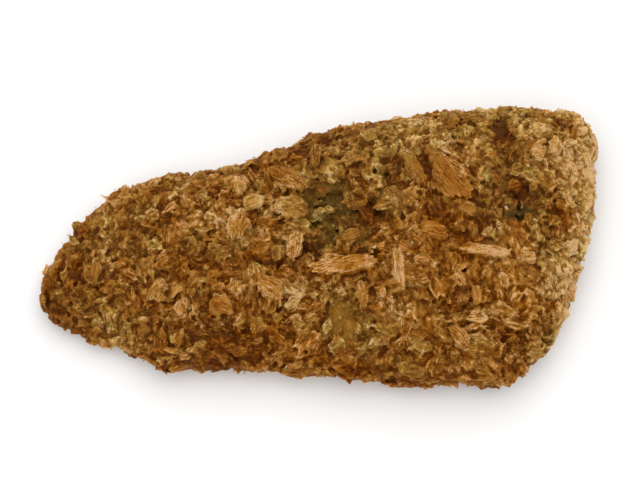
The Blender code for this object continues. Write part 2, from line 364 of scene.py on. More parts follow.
@dataclass(frozen=True)
class BarePatch(Oval):
    """A place where the fish or an oily hollow shows between the crumbs."""

    kind: Bare = Bare.SKIN
    drop: float = 0.4  # how much lower than the rest of the skin, in millimetres

    def cover(self, points: Array, ragged: Array, spare: float = 0.0) -> Array:
        """Return 1 inside the patch, 0 outside and a ragged slope between.

        Args:
            points: Points on the fillet, in metres.
            ragged: Noise at those points, which moves the edge in and out.
            spare: Widens the patch, as a share of its size.
        """
        inside = 1 - smooth_step(self.radius(points) - spare + 0.3 * ragged, 0.7, 1.15)
        return inside * (points[:, 2] > BARE_FROM)


@dataclass(frozen=True)
class ToneZone(Oval):
    """A part of the crust that differs from the rest in tone, crumb size or cover."""

    toast: float = 0.0  # more is darker
    tint: float = 0.0  # above 0 more olive and duller, below 0 more orange
    size: float = 0.0  # change of the crumbs' size, as a share of it
    sparse: float = 0.0  # share of the coarse crumbs that is missing
    sink: float = 0.0  # how much lower the skin lies, in millimetres

    def weight(self, points: Array) -> Array:
        """Return how much of the zone's change each point takes."""
        return np.exp(-(self.radius(points) ** 2)) * (points[:, 2] > SHOWN_FROM)


PATCHES = (
    BarePatch(1.2, 6.4, 19, 13, 88, Bare.SKIN, 0.6),
    BarePatch(4.6, -20.6, 11, 6.5, 95, Bare.FLESH, 0.3),
    BarePatch(47.4, 6.2, 7.5, 5.5, -20, Bare.PIT, 0.9),
)

ZONES = (
    # broad changes
    ToneZone(-52, -20, 46, 26, -25, toast=0.11, tint=0.3),
    ToneZone(-20, -30, 80, 12, -3, toast=0.20),
    ToneZone(-45, 8, 50, 18, 35, toast=-0.02, tint=0.3, size=-0.2),
    ToneZone(-20, 14, 40, 14, 22, toast=0.12, tint=0.1),
    ToneZone(18, 28, 44, 12, 12, toast=-0.07, tint=0.6),
    ToneZone(52, 32, 36, 12, 0, toast=-0.05, tint=0.6),
    ToneZone(50, 12, 36, 52, 0, toast=-0.03, tint=0.2, size=-0.15),
    ToneZone(20, -20, 50, 22, 0, toast=-0.04),
    ToneZone(3, 5, 30, 28, 0, toast=0.10, tint=0.7, sparse=0.25, sink=0.25),
    ToneZone(20, 20, 34, 18, 20, toast=0.12, tint=0.2),
    ToneZone(43, 13, 14, 22, -10, toast=0.14, tint=0.45),
    ToneZone(11.2, 6.8, 7, 7, 0, toast=0.54, tint=0.3, sparse=0.9, sink=0.7),
    # paler right rim: painted light on that side of the fillet
    ToneZone(66, 4, 16, 60, 0, toast=-0.38, tint=0.2),
    ToneZone(28, 0, 28, 20, 0, toast=0.17, tint=-0.3),
    ToneZone(-14, -31, 26, 11, 0, toast=0.16),
    ToneZone(31.8, 14, 13, 11, 0, toast=-0.06, tint=-0.4),
    ToneZone(6.5, -7.4, 20, 7, 8, tint=-0.8),
    ToneZone(-10, -14, 30, 26, 0, toast=0.08, tint=-0.3),
    ToneZone(47.2, 6, 6, 5, -20, toast=0.2, sparse=1.0, sink=0.6),
    ToneZone(3.5, -18, 15, 20, 0, toast=-0.04, tint=0.7),
    ToneZone(-20, 2, 14, 10, 0, toast=-0.12),
    ToneZone(54, 24, 22, 16, 0, toast=-0.08),
    ToneZone(44, -20, 26, 18, 30, toast=-0.04, tint=-0.2),
    # dark, oily hollows: their darker tone is partly oil and partly painted shade
    ToneZone(-60, -9, 12, 9, 0, toast=0.26, tint=-0.2, sparse=0.5, sink=0.4),
    ToneZone(-16.4, 3.4, 6, 5.5, 0, toast=0.32, sparse=0.9, sink=0.8),
    ToneZone(-2.5, -3.4, 9, 6, 20, toast=0.22, tint=0.4, sparse=0.9, sink=0.6),
    ToneZone(-10.5, -8.5, 8, 5, -25, toast=0.26, sparse=0.9, sink=0.6),
    ToneZone(-29.5, -6.2, 7, 5, 30, toast=0.18, sparse=0.7, sink=0.5),
    ToneZone(24.7, 19.5, 4, 9, -10, toast=0.30, sparse=0.9, sink=0.8),
    ToneZone(16, 14, 6, 9, 15, toast=0.24, tint=0.5, sparse=0.7, sink=0.6),
    ToneZone(44.6, 27.2, 5.2, 8.5, 10, toast=1.2, tint=-0.3, sparse=1.0, sink=1.6),
    ToneZone(52, 28, 16, 10, 0, toast=-0.06, tint=0.2),
    ToneZone(58.1, 6.2, 5, 5, 0, toast=0.34, tint=-0.6, sparse=0.9, sink=0.8),
    ToneZone(48.5, 10.8, 5, 4.5, 0, toast=0.50, tint=-0.4, sparse=1.0, sink=1.1),
    ToneZone(60.5, 29, 6, 5, 0, toast=0.24, tint=-0.4, sparse=0.8, sink=0.5),
    ToneZone(33.5, -18.6, 7, 5, -20, toast=0.20, sparse=0.8, sink=0.5),
    ToneZone(43.5, -24, 6, 6, 0, toast=0.20, sparse=0.7, sink=0.5),
    ToneZone(54, -25, 9, 7, 40, toast=0.12, tint=0.8, sparse=0.6, sink=0.3),
    ToneZone(7.2, -31.5, 8, 3.5, 0, toast=0.24, tint=-0.5, sparse=0.7, sink=0.4),
)


def zone_value(points: Array, name: str) -> Array:
    """Return the sum of one of the zones' changes at every point."""
    return sum(getattr(zone, name) * zone.weight(points) for zone in ZONES)


def add_zones(values: Values, points: Array) -> None:
    """Add the zones' changes of tone to the values at every point."""
    for name in ("toast", "tint"):
        values[name] += zone_value(points, name)


def bare_cover(points: Array, spare: float = 0.0) -> dict[Bare, Array]:
    """Return how bare each point is, for each kind of bare place, widened by a share.

    Args:
        points: One row for each point, in metres.
        spare: Widens the bare places, as a share of their size.

    Returns:
        One number from 0 to 1 for each point, by the kind of bare place.
    """
    ragged = noise_at(points, 1.9 * MM) + 0.5 * noise_at(points, 0.8 * MM, 5.0)
    cover = {kind: np.zeros(len(points)) for kind in Bare}
    for patch in PATCHES:
        cover[patch.kind] = np.maximum(cover[patch.kind], patch.cover(points, ragged, spare))
    return cover


def bareness(points: Array, spare: float = 0.0) -> Array:
    """Return how bare each point is, of whatever kind, from 0 to 1."""
    return np.clip(sum(bare_cover(points, spare).values()), 0, 1)


# ------------------------------------------------------------------ the core


@dataclass
class FilletSkin:
    """The smooth skin below the crumbs, on which they are seated."""

    points: Array
    normals: Array
    triangles: Array
    tree: BVHTree | None = field(default=None, repr=False)

    @classmethod
    def read(cls, piece: Object) -> FilletSkin:
        """Return the skin of an object.

        Args:
            piece: The object.

        Returns:
            The skin, ready for rays and scattering.
        """
        points = read_vectors(piece.data.vertices, "co")
        normals = read_vectors(piece.data.vertex_normals, "vector")
        triangles = read_triangles(piece.data)
        tree = BVHTree.FromPolygons(points.tolist(), triangles.tolist())
        return cls(points, normals, triangles, tree)

    def scatter(self, count: int, rng: Generator) -> tuple[Array, Array]:
        """Return evenly scattered places on the skin.

        Args:
            count: How many places.
            rng: Source of the places.

        Returns:
            The places and the skin's normals there.
        """
        corners = self.points[self.triangles]
        area = spanned(corners[:, 1] - corners[:, 0], corners[:, 2] - corners[:, 0])
        chosen = self.triangles[rng.choice(len(area), count, p=area / area.sum())]
        share = rng.random((count, 2))
        over = share.sum(axis=1) > 1
        share[over] = 1 - share[over]
        weights = np.column_stack([1 - share.sum(axis=1), share])[..., None]
        places = (self.points[chosen] * weights).sum(axis=1)
        normals = (self.normals[chosen] * weights).sum(axis=1)
        return places, unit(normals)

    def top_at(self, x: float, y: float) -> float:
        """Return the skin's height above the table at a place, or a low value beside it."""
        place, _, _, _ = self.tree.ray_cast(Vector((x, y, 0.1)), Vector((0, 0, -1)))
        return place.z if place is not None else BESIDE


@dataclass
class CrustCore:
    """The fish in its skin of fine, fried-on crumb, under the loose flakes."""

    coarse_net: float = 0.9 * MM
    fine_net: float = 0.45 * MM
    inset: float = 0.5 * MM
    lump: float = 1.7 * MM
    grit: float = 1.1 * MM
    swell: float = 3.2 * MM
    lowest: float = 0.15 * MM  # least height above the table
    toast: float = 0.62
    rim: float = 0.2
    piece: Object = field(init=False)
    skin: FilletSkin = field(init=False)

    def build(self) -> None:
        """Shrink a copy of the fillet, smooth it, and then roughen it between the bare places."""
        self.piece = self._copy_fillet()
        remesh(self.piece, self.coarse_net, 10)
        modify(self.piece, "DISPLACE", strength=-self.inset, mid_level=0.0)
        remesh(self.piece, self.fine_net, 4)
        self.skin = FilletSkin.read(self.piece)
        self._roughen()

    def _copy_fillet(self) -> Object:
        """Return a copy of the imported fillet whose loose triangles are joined.

        Returns:
            The copy, linked to the scene.
        """
        mesh = FRAME["nodes"][CAD_NODE].data.copy()
        piece = link(bpy.data.objects.new("crust_core", mesh))
        with editing(piece):
            bpy.ops.mesh.remove_doubles(threshold=1e-6)
        return piece

    def _roughen(self) -> None:
        """Raise small crumbs and dents all over the skin, and sink the bare places."""
        points, normals = self.skin.points, self.skin.normals
        bare = bareness(points)
        lumps = np.array([noise.voronoi(Vector(p))[0][0] for p in points / self.lump])
        relief = 0.55 * (0.5 - lumps) + 0.3 * noise_at(points, self.grit)
        relief += 0.35 * noise_at(points, self.swell, 7.0)
        height = relief * (1 - 0.75 * bare)
        for patch in PATCHES:
            height -= patch.drop * np.clip(1.1 - patch.radius(points), 0, 0.5) * 2 * bare
        height -= zone_value(points, "sink")
        moved = points + normals * (height * MM)[:, None]
        moved[:, 2] = np.maximum(moved[:, 2], self.lowest)
        move_points(self.piece.data, moved)

    def lay_in(self, heap: CrumbHeap) -> None:
        """Add the core to a heap as the ground that its crumbs are matted with.

        Args:
            heap: The heap that gets it.
        """
        points = read_vectors(self.piece.data.vertices, "co")
        values = {
            "toast": np.full(len(points), self.toast),
            "tint": np.zeros(len(points)),
            "rim": np.full(len(points), self.rim),
            "grain": points,
        }
        heap.add(points, read_triangles(self.piece.data), values)
        bpy.data.objects.remove(self.piece)


# ------------------------------------------------------- patterns of crumbs


@dataclass(frozen=True)
class PatternMesh:
    """The net of one modelled crumb, two units long and wide and about one unit thick."""

    points: Array
    triangles: Array
    rim: Array

    @classmethod
    def take(cls, piece: Object, line: Array | None = None) -> PatternMesh:
        """Take the net from an object, and remove the object.

        Args:
            piece: The modelled crumb.
            line: Points along its torn edge, or None for a crumb without an edge.

        Returns:
            The net, centred and brought to its length and width.
        """
        points = read_vectors(piece.data.vertices, "co")
        triangles = read_triangles(piece.data)
        rim = np.full(len(points), 0.3)
        if line is not None:
            gap = np.linalg.norm(points[:, None, :2] - line[None, :, :2], axis=2).min(axis=1)
            rim = 1 - np.clip(gap / 0.3, 0, 1)
        low, high = points.min(axis=0), points.max(axis=0)
        points = points - (low + high) / 2
        points[:, :2] /= (high - low)[:2] / 2
        bpy.data.objects.remove(piece)
        return cls(points, triangles, rim)


@dataclass(frozen=True)
class FlakePattern:
    """A flat, torn flake with ridges along it, cut out of a grid."""

    seed: int
    columns: int = 10
    rows: int = 6
    cuts: int = 6
    reach: tuple[float, float] = (0.72, 0.98)
    tear: float = 0.12
    fray: tuple[float, float] = (0.66, 1.0)
    step: float = 0.32
    ridge: float = 1.6
    warp: float = 1.8
    weld: float = 0.07
    droop: float = 0.3  # how far the torn edge hangs down
    bite: tuple[float, float] = (0.84, 0.76)  # share to which parts of the edge are drawn in
    depth: float = 0.8
    taper: tuple[float, float] = (0.86, 0.8)  # the underside's share of the top
    faces: int = 64

    def build(self) -> PatternMesh:
        """Model the flake and return its net.

        Returns:
            The net of the flake.
        """
        sheet, line = self._torn_sheet()
        self._thicken(sheet)
        self._displace(sheet, "ridges", 0.35, 0.42, self.ridge)
        self._displace(sheet, "warp", 0.8, 0.9, self.warp)
        self._thin_out(sheet)
        return PatternMesh.take(sheet, line)

    def _torn_sheet(self) -> tuple[Object, Array]:
        """Cut a grid to an uneven outline, tear its edge, and return it with that edge.

        Returns:
            The sheet, and the points along its torn edge.
        """
        rng = random.Random(self.seed)
        deselect_all()
        bpy.ops.mesh.primitive_grid_add(
            x_subdivisions=self.columns, y_subdivisions=self.rows, size=2
        )
        sheet = bpy.context.active_object
        sheet.name = f"flake_pattern_{self.seed}"
        with editing(sheet):
            for cut in range(self.cuts):
                angle = 2 * math.pi * (cut + rng.uniform(-0.4, 0.4)) / self.cuts
                outward = Vector((math.cos(angle), math.sin(angle), 0))
                select_net()
                bpy.ops.mesh.bisect(
                    plane_co=outward * rng.uniform(*self.reach), plane_no=outward, clear_outer=True
                )
            select_net()
            bpy.ops.mesh.remove_doubles(threshold=self.weld)
            self._fray_rows(sheet, rng)
            self._select_edge()
            bpy.ops.transform.vertex_random(offset=self.tear, seed=self.seed)
            bpy.ops.transform.translate(value=(0, 0, -self.droop))
            bpy.ops.mesh.select_random(ratio=0.6, seed=self.seed, action="DESELECT")
            scale_selected(*self.bite)
            self._select_edge()
        line = np.array([tuple(vert.co) for vert in sheet.data.vertices if vert.select])
        return sheet, line

    def _select_edge(self) -> None:
        """Select only the sheet's outer edge, in edit mode."""
        select_net(False)
        bpy.ops.mesh.select_non_manifold()

    def _fray_rows(self, sheet: Object, rng: random.Random) -> None:
        """Shorten, shift and lift each row by itself, as fibres do that tear apart.

        Args:
            sheet: The flake.
            rng: Source of the random draws.
        """
        gap = 2 / self.rows
        for row in range(self.rows + 1):
            select_level(sheet, row * gap - 1, gap / 2)
            bpy.ops.transform.resize(
                value=(rng.uniform(*self.fray), 1, 1),
                center_override=(rng.uniform(-0.25, 0.25), 0, 0),
            )
            side, lift = rng.uniform(-0.25, 0.25) * gap, rng.uniform(-1, 1) * self.step
            bpy.ops.transform.translate(value=(0, side, lift))

    def _thicken(self, sheet: Object) -> None:
        """Extrude the sheet downwards to a closed flake with a narrower underside.

        Args:
            sheet: The flake.
        """
        with editing(sheet):
            bpy.ops.mesh.extrude_region_move(
                TRANSFORM_OT_translate={"value": (0, 0, -self.depth)}
            )
            scale_selected(*self.taper)
            select_net()
            bpy.ops.mesh.normals_make_consistent(inside=False)

    def _displace(
        self, sheet: Object, name: str, squash: float, size: float, depth: float
    ) -> None:
        """Raise and lower the flake by cloudy noise.

        Args:
            sheet: The flake.
            name: Name of the noise.
            squash: Share of its length at which the flake reads the noise; less gives ridges.
            size: Size of the noise's swells.
            depth: Height of the relief.
        """
        clouds = bpy.data.textures.new(f"{name}_{self.seed}", "CLOUDS")
        clouds.noise_scale = size
        clouds.noise_depth = 1
        sheet.location = (3.7 * self.seed, 0, 0)
        sheet.scale = (squash, 1, 1)
        bpy.context.view_layer.update()
        read = {"texture": clouds, "texture_coords": "GLOBAL", "direction": "Z"}
        modify(sheet, "DISPLACE", strength=depth, **read)
        sheet.location = (0, 0, 0)
        sheet.scale = (1, 1, 1)

    def _thin_out(self, sheet: Object) -> None:
        """Leave the flake only as many faces as its grade can carry.

        Args:
            sheet: The flake.
        """
        ratio = self.faces / len(read_triangles(sheet.data))
        if ratio < 1:
            modify(sheet, "DECIMATE", ratio=ratio, use_collapse_triangulate=True)


@dataclass(frozen=True)
class StrandPattern:
    """One strand of torn crumb: a wavy bar that thins out at both ends."""

    seed: int
    sides: int = 5
    steps: int = 2  # how often each end is drawn out
    pull: float = 0.375  # and by how much each time
    wander: float = 0.22
    ends: tuple[float, float] = (0.35, 0.8)

    def build(self) -> PatternMesh:
        """Model the strand and return its net."""
        return PatternMesh.take(self.model())

    def model(self) -> Object:
        """Model the strand from its middle outwards and return the object.

        Returns:
            The strand, about two units long.
        """
        rng = random.Random(self.seed)
        deselect_all()
        bpy.ops.mesh.primitive_cylinder_add(
            vertices=self.sides,
            radius=0.5,
            depth=0.5,
            end_fill_type="TRIFAN",
            rotation=(0, math.pi / 2, 0),
        )
        strand = bpy.context.active_object
        bpy.ops.object.transform_apply(location=False, rotation=True, scale=False)
        with editing(strand):
            for side in (1, -1):
                for step in range(self.steps):
                    self._draw_out(strand, side * (0.25 + self.pull * step), rng)
            select_net()
            bpy.ops.transform.vertex_random(offset=0.10, seed=self.seed)
        return strand

    def _draw_out(self, strand: Object, end: float, rng: random.Random) -> None:
        """Extrude one end outwards, off the axis and narrower.

        Args:
            strand: The strand, in edit mode.
            end: X of the end that is drawn out.
            rng: Source of the random draws.
        """
        select_net(False)
        net = bmesh.from_edit_mesh(strand.data)
        for face in net.faces:
            face.select_set(all(abs(vert.co.x - end) < 0.02 for vert in face.verts))
        net.select_flush_mode()
        bmesh.update_edit_mesh(strand.data)
        off = (rng.uniform(-1, 1) * self.wander, rng.uniform(-1, 1) * self.wander)
        bpy.ops.mesh.extrude_region_move(
            TRANSFORM_OT_translate={"value": (math.copysign(self.pull, end), off[0], off[1])}
        )
        size = rng.uniform(*self.ends)
        bpy.ops.transform.resize(value=(1, size, size))


@dataclass(frozen=True)
class BundlePattern:
    """A crumb that tore into strands: they lie side by side and spread at the ends."""

    seed: int
    strands: int = 9
    spread: float = 22.0  # degrees
    slim: tuple[float, float] = (0.26, 0.46)
    stout: tuple[float, float] = (0.4, 0.75)

    def build(self) -> PatternMesh:
        """Model the bundle and return its net.

        Returns:
            The net of the bundle.
        """
        rng = random.Random(self.seed)
        turn = math.radians(self.spread)
        parts = []
        for number in range(self.strands):
            strand = StrandPattern(self.seed * 100 + number, sides=4).model()
            across = 0.85 * (2 * (number + 0.5) / self.strands - 1)
            strand.location = (rng.uniform(-0.35, 0.35), across, rng.uniform(-0.3, 0.3))
            roll, pitch, yaw = rng.uniform(0, 3), rng.gauss(0, turn), rng.gauss(0, turn)
            strand.rotation_euler = (roll, 0.6 * pitch, yaw)
            strand.scale = (
                rng.uniform(0.45, 0.85), rng.uniform(*self.slim), rng.uniform(*self.stout)
            )
            parts.append(strand)
        deselect_all()
        for part in parts:
            part.select_set(True)
        bpy.context.view_layer.objects.active = parts[0]
        bpy.ops.object.join()
        bpy.ops.object.transform_apply()
        return PatternMesh.take(bpy.context.active_object)


@dataclass(frozen=True)
class LumpPattern:
    """A small broken lump of crumb."""

    seed: int
    rounds: int = 1
    breakage: float = 0.34
    dent: tuple[float, float, float] = (0.7, 0.8, 0.6)
    flat: float = 0.5

    def build(self) -> PatternMesh:
        """Model the lump and return its net.

        Returns:
            The net of the lump.
        """
        deselect_all()
        bpy.ops.mesh.primitive_ico_sphere_add(subdivisions=self.rounds, radius=1)
        lump = bpy.context.active_object
        with editing(lump):
            bpy.ops.transform.vertex_random(offset=self.breakage, seed=self.seed)
            bpy.ops.mesh.select_random(ratio=0.5, seed=self.seed + 3, action="DESELECT")
            scale_selected(*self.dent)
            select_net()
            scale_selected(1, 1, self.flat)
        return PatternMesh.take(lump)


# --------------------------------------------------------- loose crumbs


@dataclass
class Seats:
    """Where a set of crumbs lies. Every field has one row for each crumb."""

    places: Array
    normals: Array
    axes: Array
    sizes: Array
    bend: Array
    cup: Array
    twist: Array
    toast: Array
    tint: Array
    grain: Array  # where its grain starts, along its own axes

    def part(self, chosen: Array) -> Seats:
        """Return the seats that are chosen by a mask."""
        return Seats(*(getattr(self, row.name)[chosen] for row in fields(self)))


def level_axes(normals: Array) -> tuple[Array, Array]:
    """Return two directions that lie in the skin under each normal, square to each other.

    Args:
        normals: The skin's normal at each place.

    Returns:
        The first and the second direction, one row of each for each normal.
    """
    helper = np.where(np.abs(normals[:, :1]) < 0.8, [[1.0, 0, 0]], [[0, 1.0, 0]])
    first = unit(np.cross(normals, helper))
    return first, np.cross(normals, first)


def turned_axes(
    normals: Array, spin: Array, lean: Array, side: Array
) -> Array:
    """Return the axes of crumbs that lie on a skin.

    Args:
        normals: The skin's normal under each crumb.
        spin: Turn of each crumb about that normal, in radians.
        lean: Angle by which each crumb leans out of the skin, in radians.
        side: Direction in which it leans, in radians from its own length.

    Returns:
        For each crumb a matrix with its length, width and thickness axes as columns.
    """
    first, second = level_axes(normals)
    cos, sin = np.cos(spin)[:, None], np.sin(spin)[:, None]
    along, across = first * cos + second * sin, second * cos - first * sin
    pivot = along * np.cos(side)[:, None] + across * np.sin(side)[:, None]
    cos, sin = np.cos(lean)[:, None], np.sin(lean)[:, None]

    def tip(axis: Array) -> Array:
        """Turn an axis about the pivot by the lean."""
        level = (pivot * axis).sum(axis=1)[:, None] * pivot
        return axis * cos + np.cross(pivot, axis) * sin + level * (1 - cos)

    return np.stack([tip(along), tip(across), tip(normals)], axis=2)


@dataclass
class CrumbHeap:
    """Many crumbs: their nets and values, gathered one batch after another."""

    points: list[Array] = field(default_factory=list)
    triangles: list[Array] = field(default_factory=list)
    values: dict[str, list[Array]] = field(default_factory=dict)
    corners: int = 0

    def add(self, points: Array, triangles: Array, values: Values) -> None:
        """Gather a net with the values at its points.

        Args:
            points: One row for each point, in metres.
            triangles: The corners' indices, one row for each triangle.
            values: The values at the points, by their names.
        """
        self.points.append(points)
        self.triangles.append(triangles + self.corners)
        for name, rows in values.items():
            self.values.setdefault(name, []).append(rows)
        self.corners += len(points)

    def lay(self, net: PatternMesh, seats: Seats) -> None:
        """Add a copy of a pattern at every seat, each bent and twisted in its own way.

        Args:
            net: The pattern.
            seats: Where its copies lie, and their sizes and tones.
        """
        count, size = len(seats.places), len(net.points)
        local = net.points[None] * seats.sizes[:, None, :] * np.array([0.5, 0.5, 1.0])
        grain = local + seats.grain[:, None, :]
        x, y, z = local[..., 0], local[..., 1], local[..., 2]
        angle = seats.twist[:, None] * x
        y, z = y * np.cos(angle) - z * np.sin(angle), y * np.sin(angle) + z * np.cos(angle)
        z = z + seats.bend[:, None] * x**2 + seats.cup[:, None] * y**2
        world = np.einsum("mij,mnj->mni", seats.axes, np.stack([x, y, z], axis=2))
        world = world + seats.places[:, None, :]
        triangles = net.triangles[None] + size * np.arange(count)[:, None, None]
        values = {
            "toast": np.repeat(seats.toast, size),
            "tint": np.repeat(seats.tint, size),
            "rim": np.tile(net.rim, count),
            "grain": grain.reshape(-1, 3),
        }
        self.add(world.reshape(-1, 3), triangles.reshape(-1, 3), values)

    def joined(self) -> tuple[Array, Array, Values]:
        """Return the points inside the fillet's box, the triangles and the values of it all."""
        values = {name: np.concatenate(rows) for name, rows in self.values.items()}
        return fit_in_box(np.concatenate(self.points)), np.concatenate(self.triangles), values


CLUMP_TRIES = 6000  # places that are tried for a clump
CLUMP_GAPS = (3.6, 7.6)  # least distances between clumps, in millimetres
CLUMP_HEIGHT = (-0.25, 0.75)  # millimetres
CLUMP_FAN = 90  # spread of the fans, in radians for each metre
CLUMP_TOAST = 0.13  # spread of the toast
CLUMP_TINT = (0.12, 0.32)  # middle and spread of the tint
CLUMP_EDGE = 2.6 * MM  # width of the edge along which a clump thins out
GRAIN_START = 3.0  # millimetres by which the grain of a clump or a flake may be shifted
BATCH = 2000  # places that are looked up at once


@dataclass
class ClumpField:
    """Clumps into which crumbs stuck together. Every field has one row for each clump."""

    places: Array
    spin: Array  # direction of the clump's grain, in radians
    fan: Array  # by how much the grain spreads across it, in radians for each metre
    height: Array  # how far its middle stands out, in millimetres
    toast: Array
    tint: Array
    start: Array  # where its grain starts

    @classmethod
    def scatter(cls, skin: FilletSkin, rng: Generator) -> ClumpField:
        """Return clumps of uneven size all over a skin.

        Args:
            skin: The skin on which it lies.
            rng: Source of the random draws.

        Returns:
            The clumps.
        """
        places, _ = skin.scatter(CLUMP_TRIES, rng)
        gaps = rng.uniform(*CLUMP_GAPS, len(places)) * (1 + zone_value(places, "size")) * MM
        places = places[spaced_out(places, gaps, np.ones(len(places), bool))]
        count = len(places)
        return cls(
            places,
            rng.uniform(0, 2 * math.pi, count),
            rng.normal(0, CLUMP_FAN, count),
            rng.uniform(*CLUMP_HEIGHT, count),
            rng.normal(0, CLUMP_TOAST, count),
            rng.normal(*CLUMP_TINT, count),
            rng.uniform(-GRAIN_START, GRAIN_START, (count, 3)) * MM,
        )

    def find(self, places: Array) -> tuple[Array, Array]:
        """Return the clump to which each place belongs, and 0 at its edge to 1 well inside.

        Args:
            places: One row for each place, in metres.

        Returns:
            The clump's number and the place's depth in it, for each place.
        """
        clump, inner = np.zeros(len(places), int), np.zeros(len(places))
        for start in range(0, len(places), BATCH):
            rows = slice(start, start + BATCH)
            distance = np.linalg.norm(places[rows, None] - self.places[None], axis=2)
            order = np.argpartition(distance, 1, axis=1)[:, :2]
            near = np.take_along_axis(distance, order, axis=1)
            clump[rows] = order[np.arange(len(near)), near.argmin(axis=1)]
            inner[rows] = smooth_step(near.max(axis=1) - near.min(axis=1), 0, CLUMP_EDGE)
        return clump, inner

    def grain(self, places: Array, normals: Array, clump: Array) -> Array:
        """Return the direction of the grain at each place of a clump, in radians.

        Args:
            places: One row for each place, in metres.
            normals: The skin's normal at each place.
            clump: The number of the clump that each place belongs to.

        Returns:
            One angle for each place.
        """
        first, second = level_axes(normals)
        offset = places - self.places[clump]
        east, north = (offset * first).sum(axis=1), (offset * second).sum(axis=1)
        spin = self.spin[clump]
        across = north * np.cos(spin) - east * np.sin(spin)
        return spin + self.fan[clump] * across


def dress(piece: Object, material: bpy.types.Material, sharp: float) -> None:
    """Give a piece its finish, with edges sharper than an angle in degrees kept.

    Args:
        piece: The object.
        material: The finish.
        sharp: The angle, in degrees.
    """
    piece.data.materials.clear()
    piece.data.materials.append(material)
    pick(piece)
    bpy.ops.object.shade_smooth_by_angle(angle=math.radians(sharp))
    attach(piece, BODY)


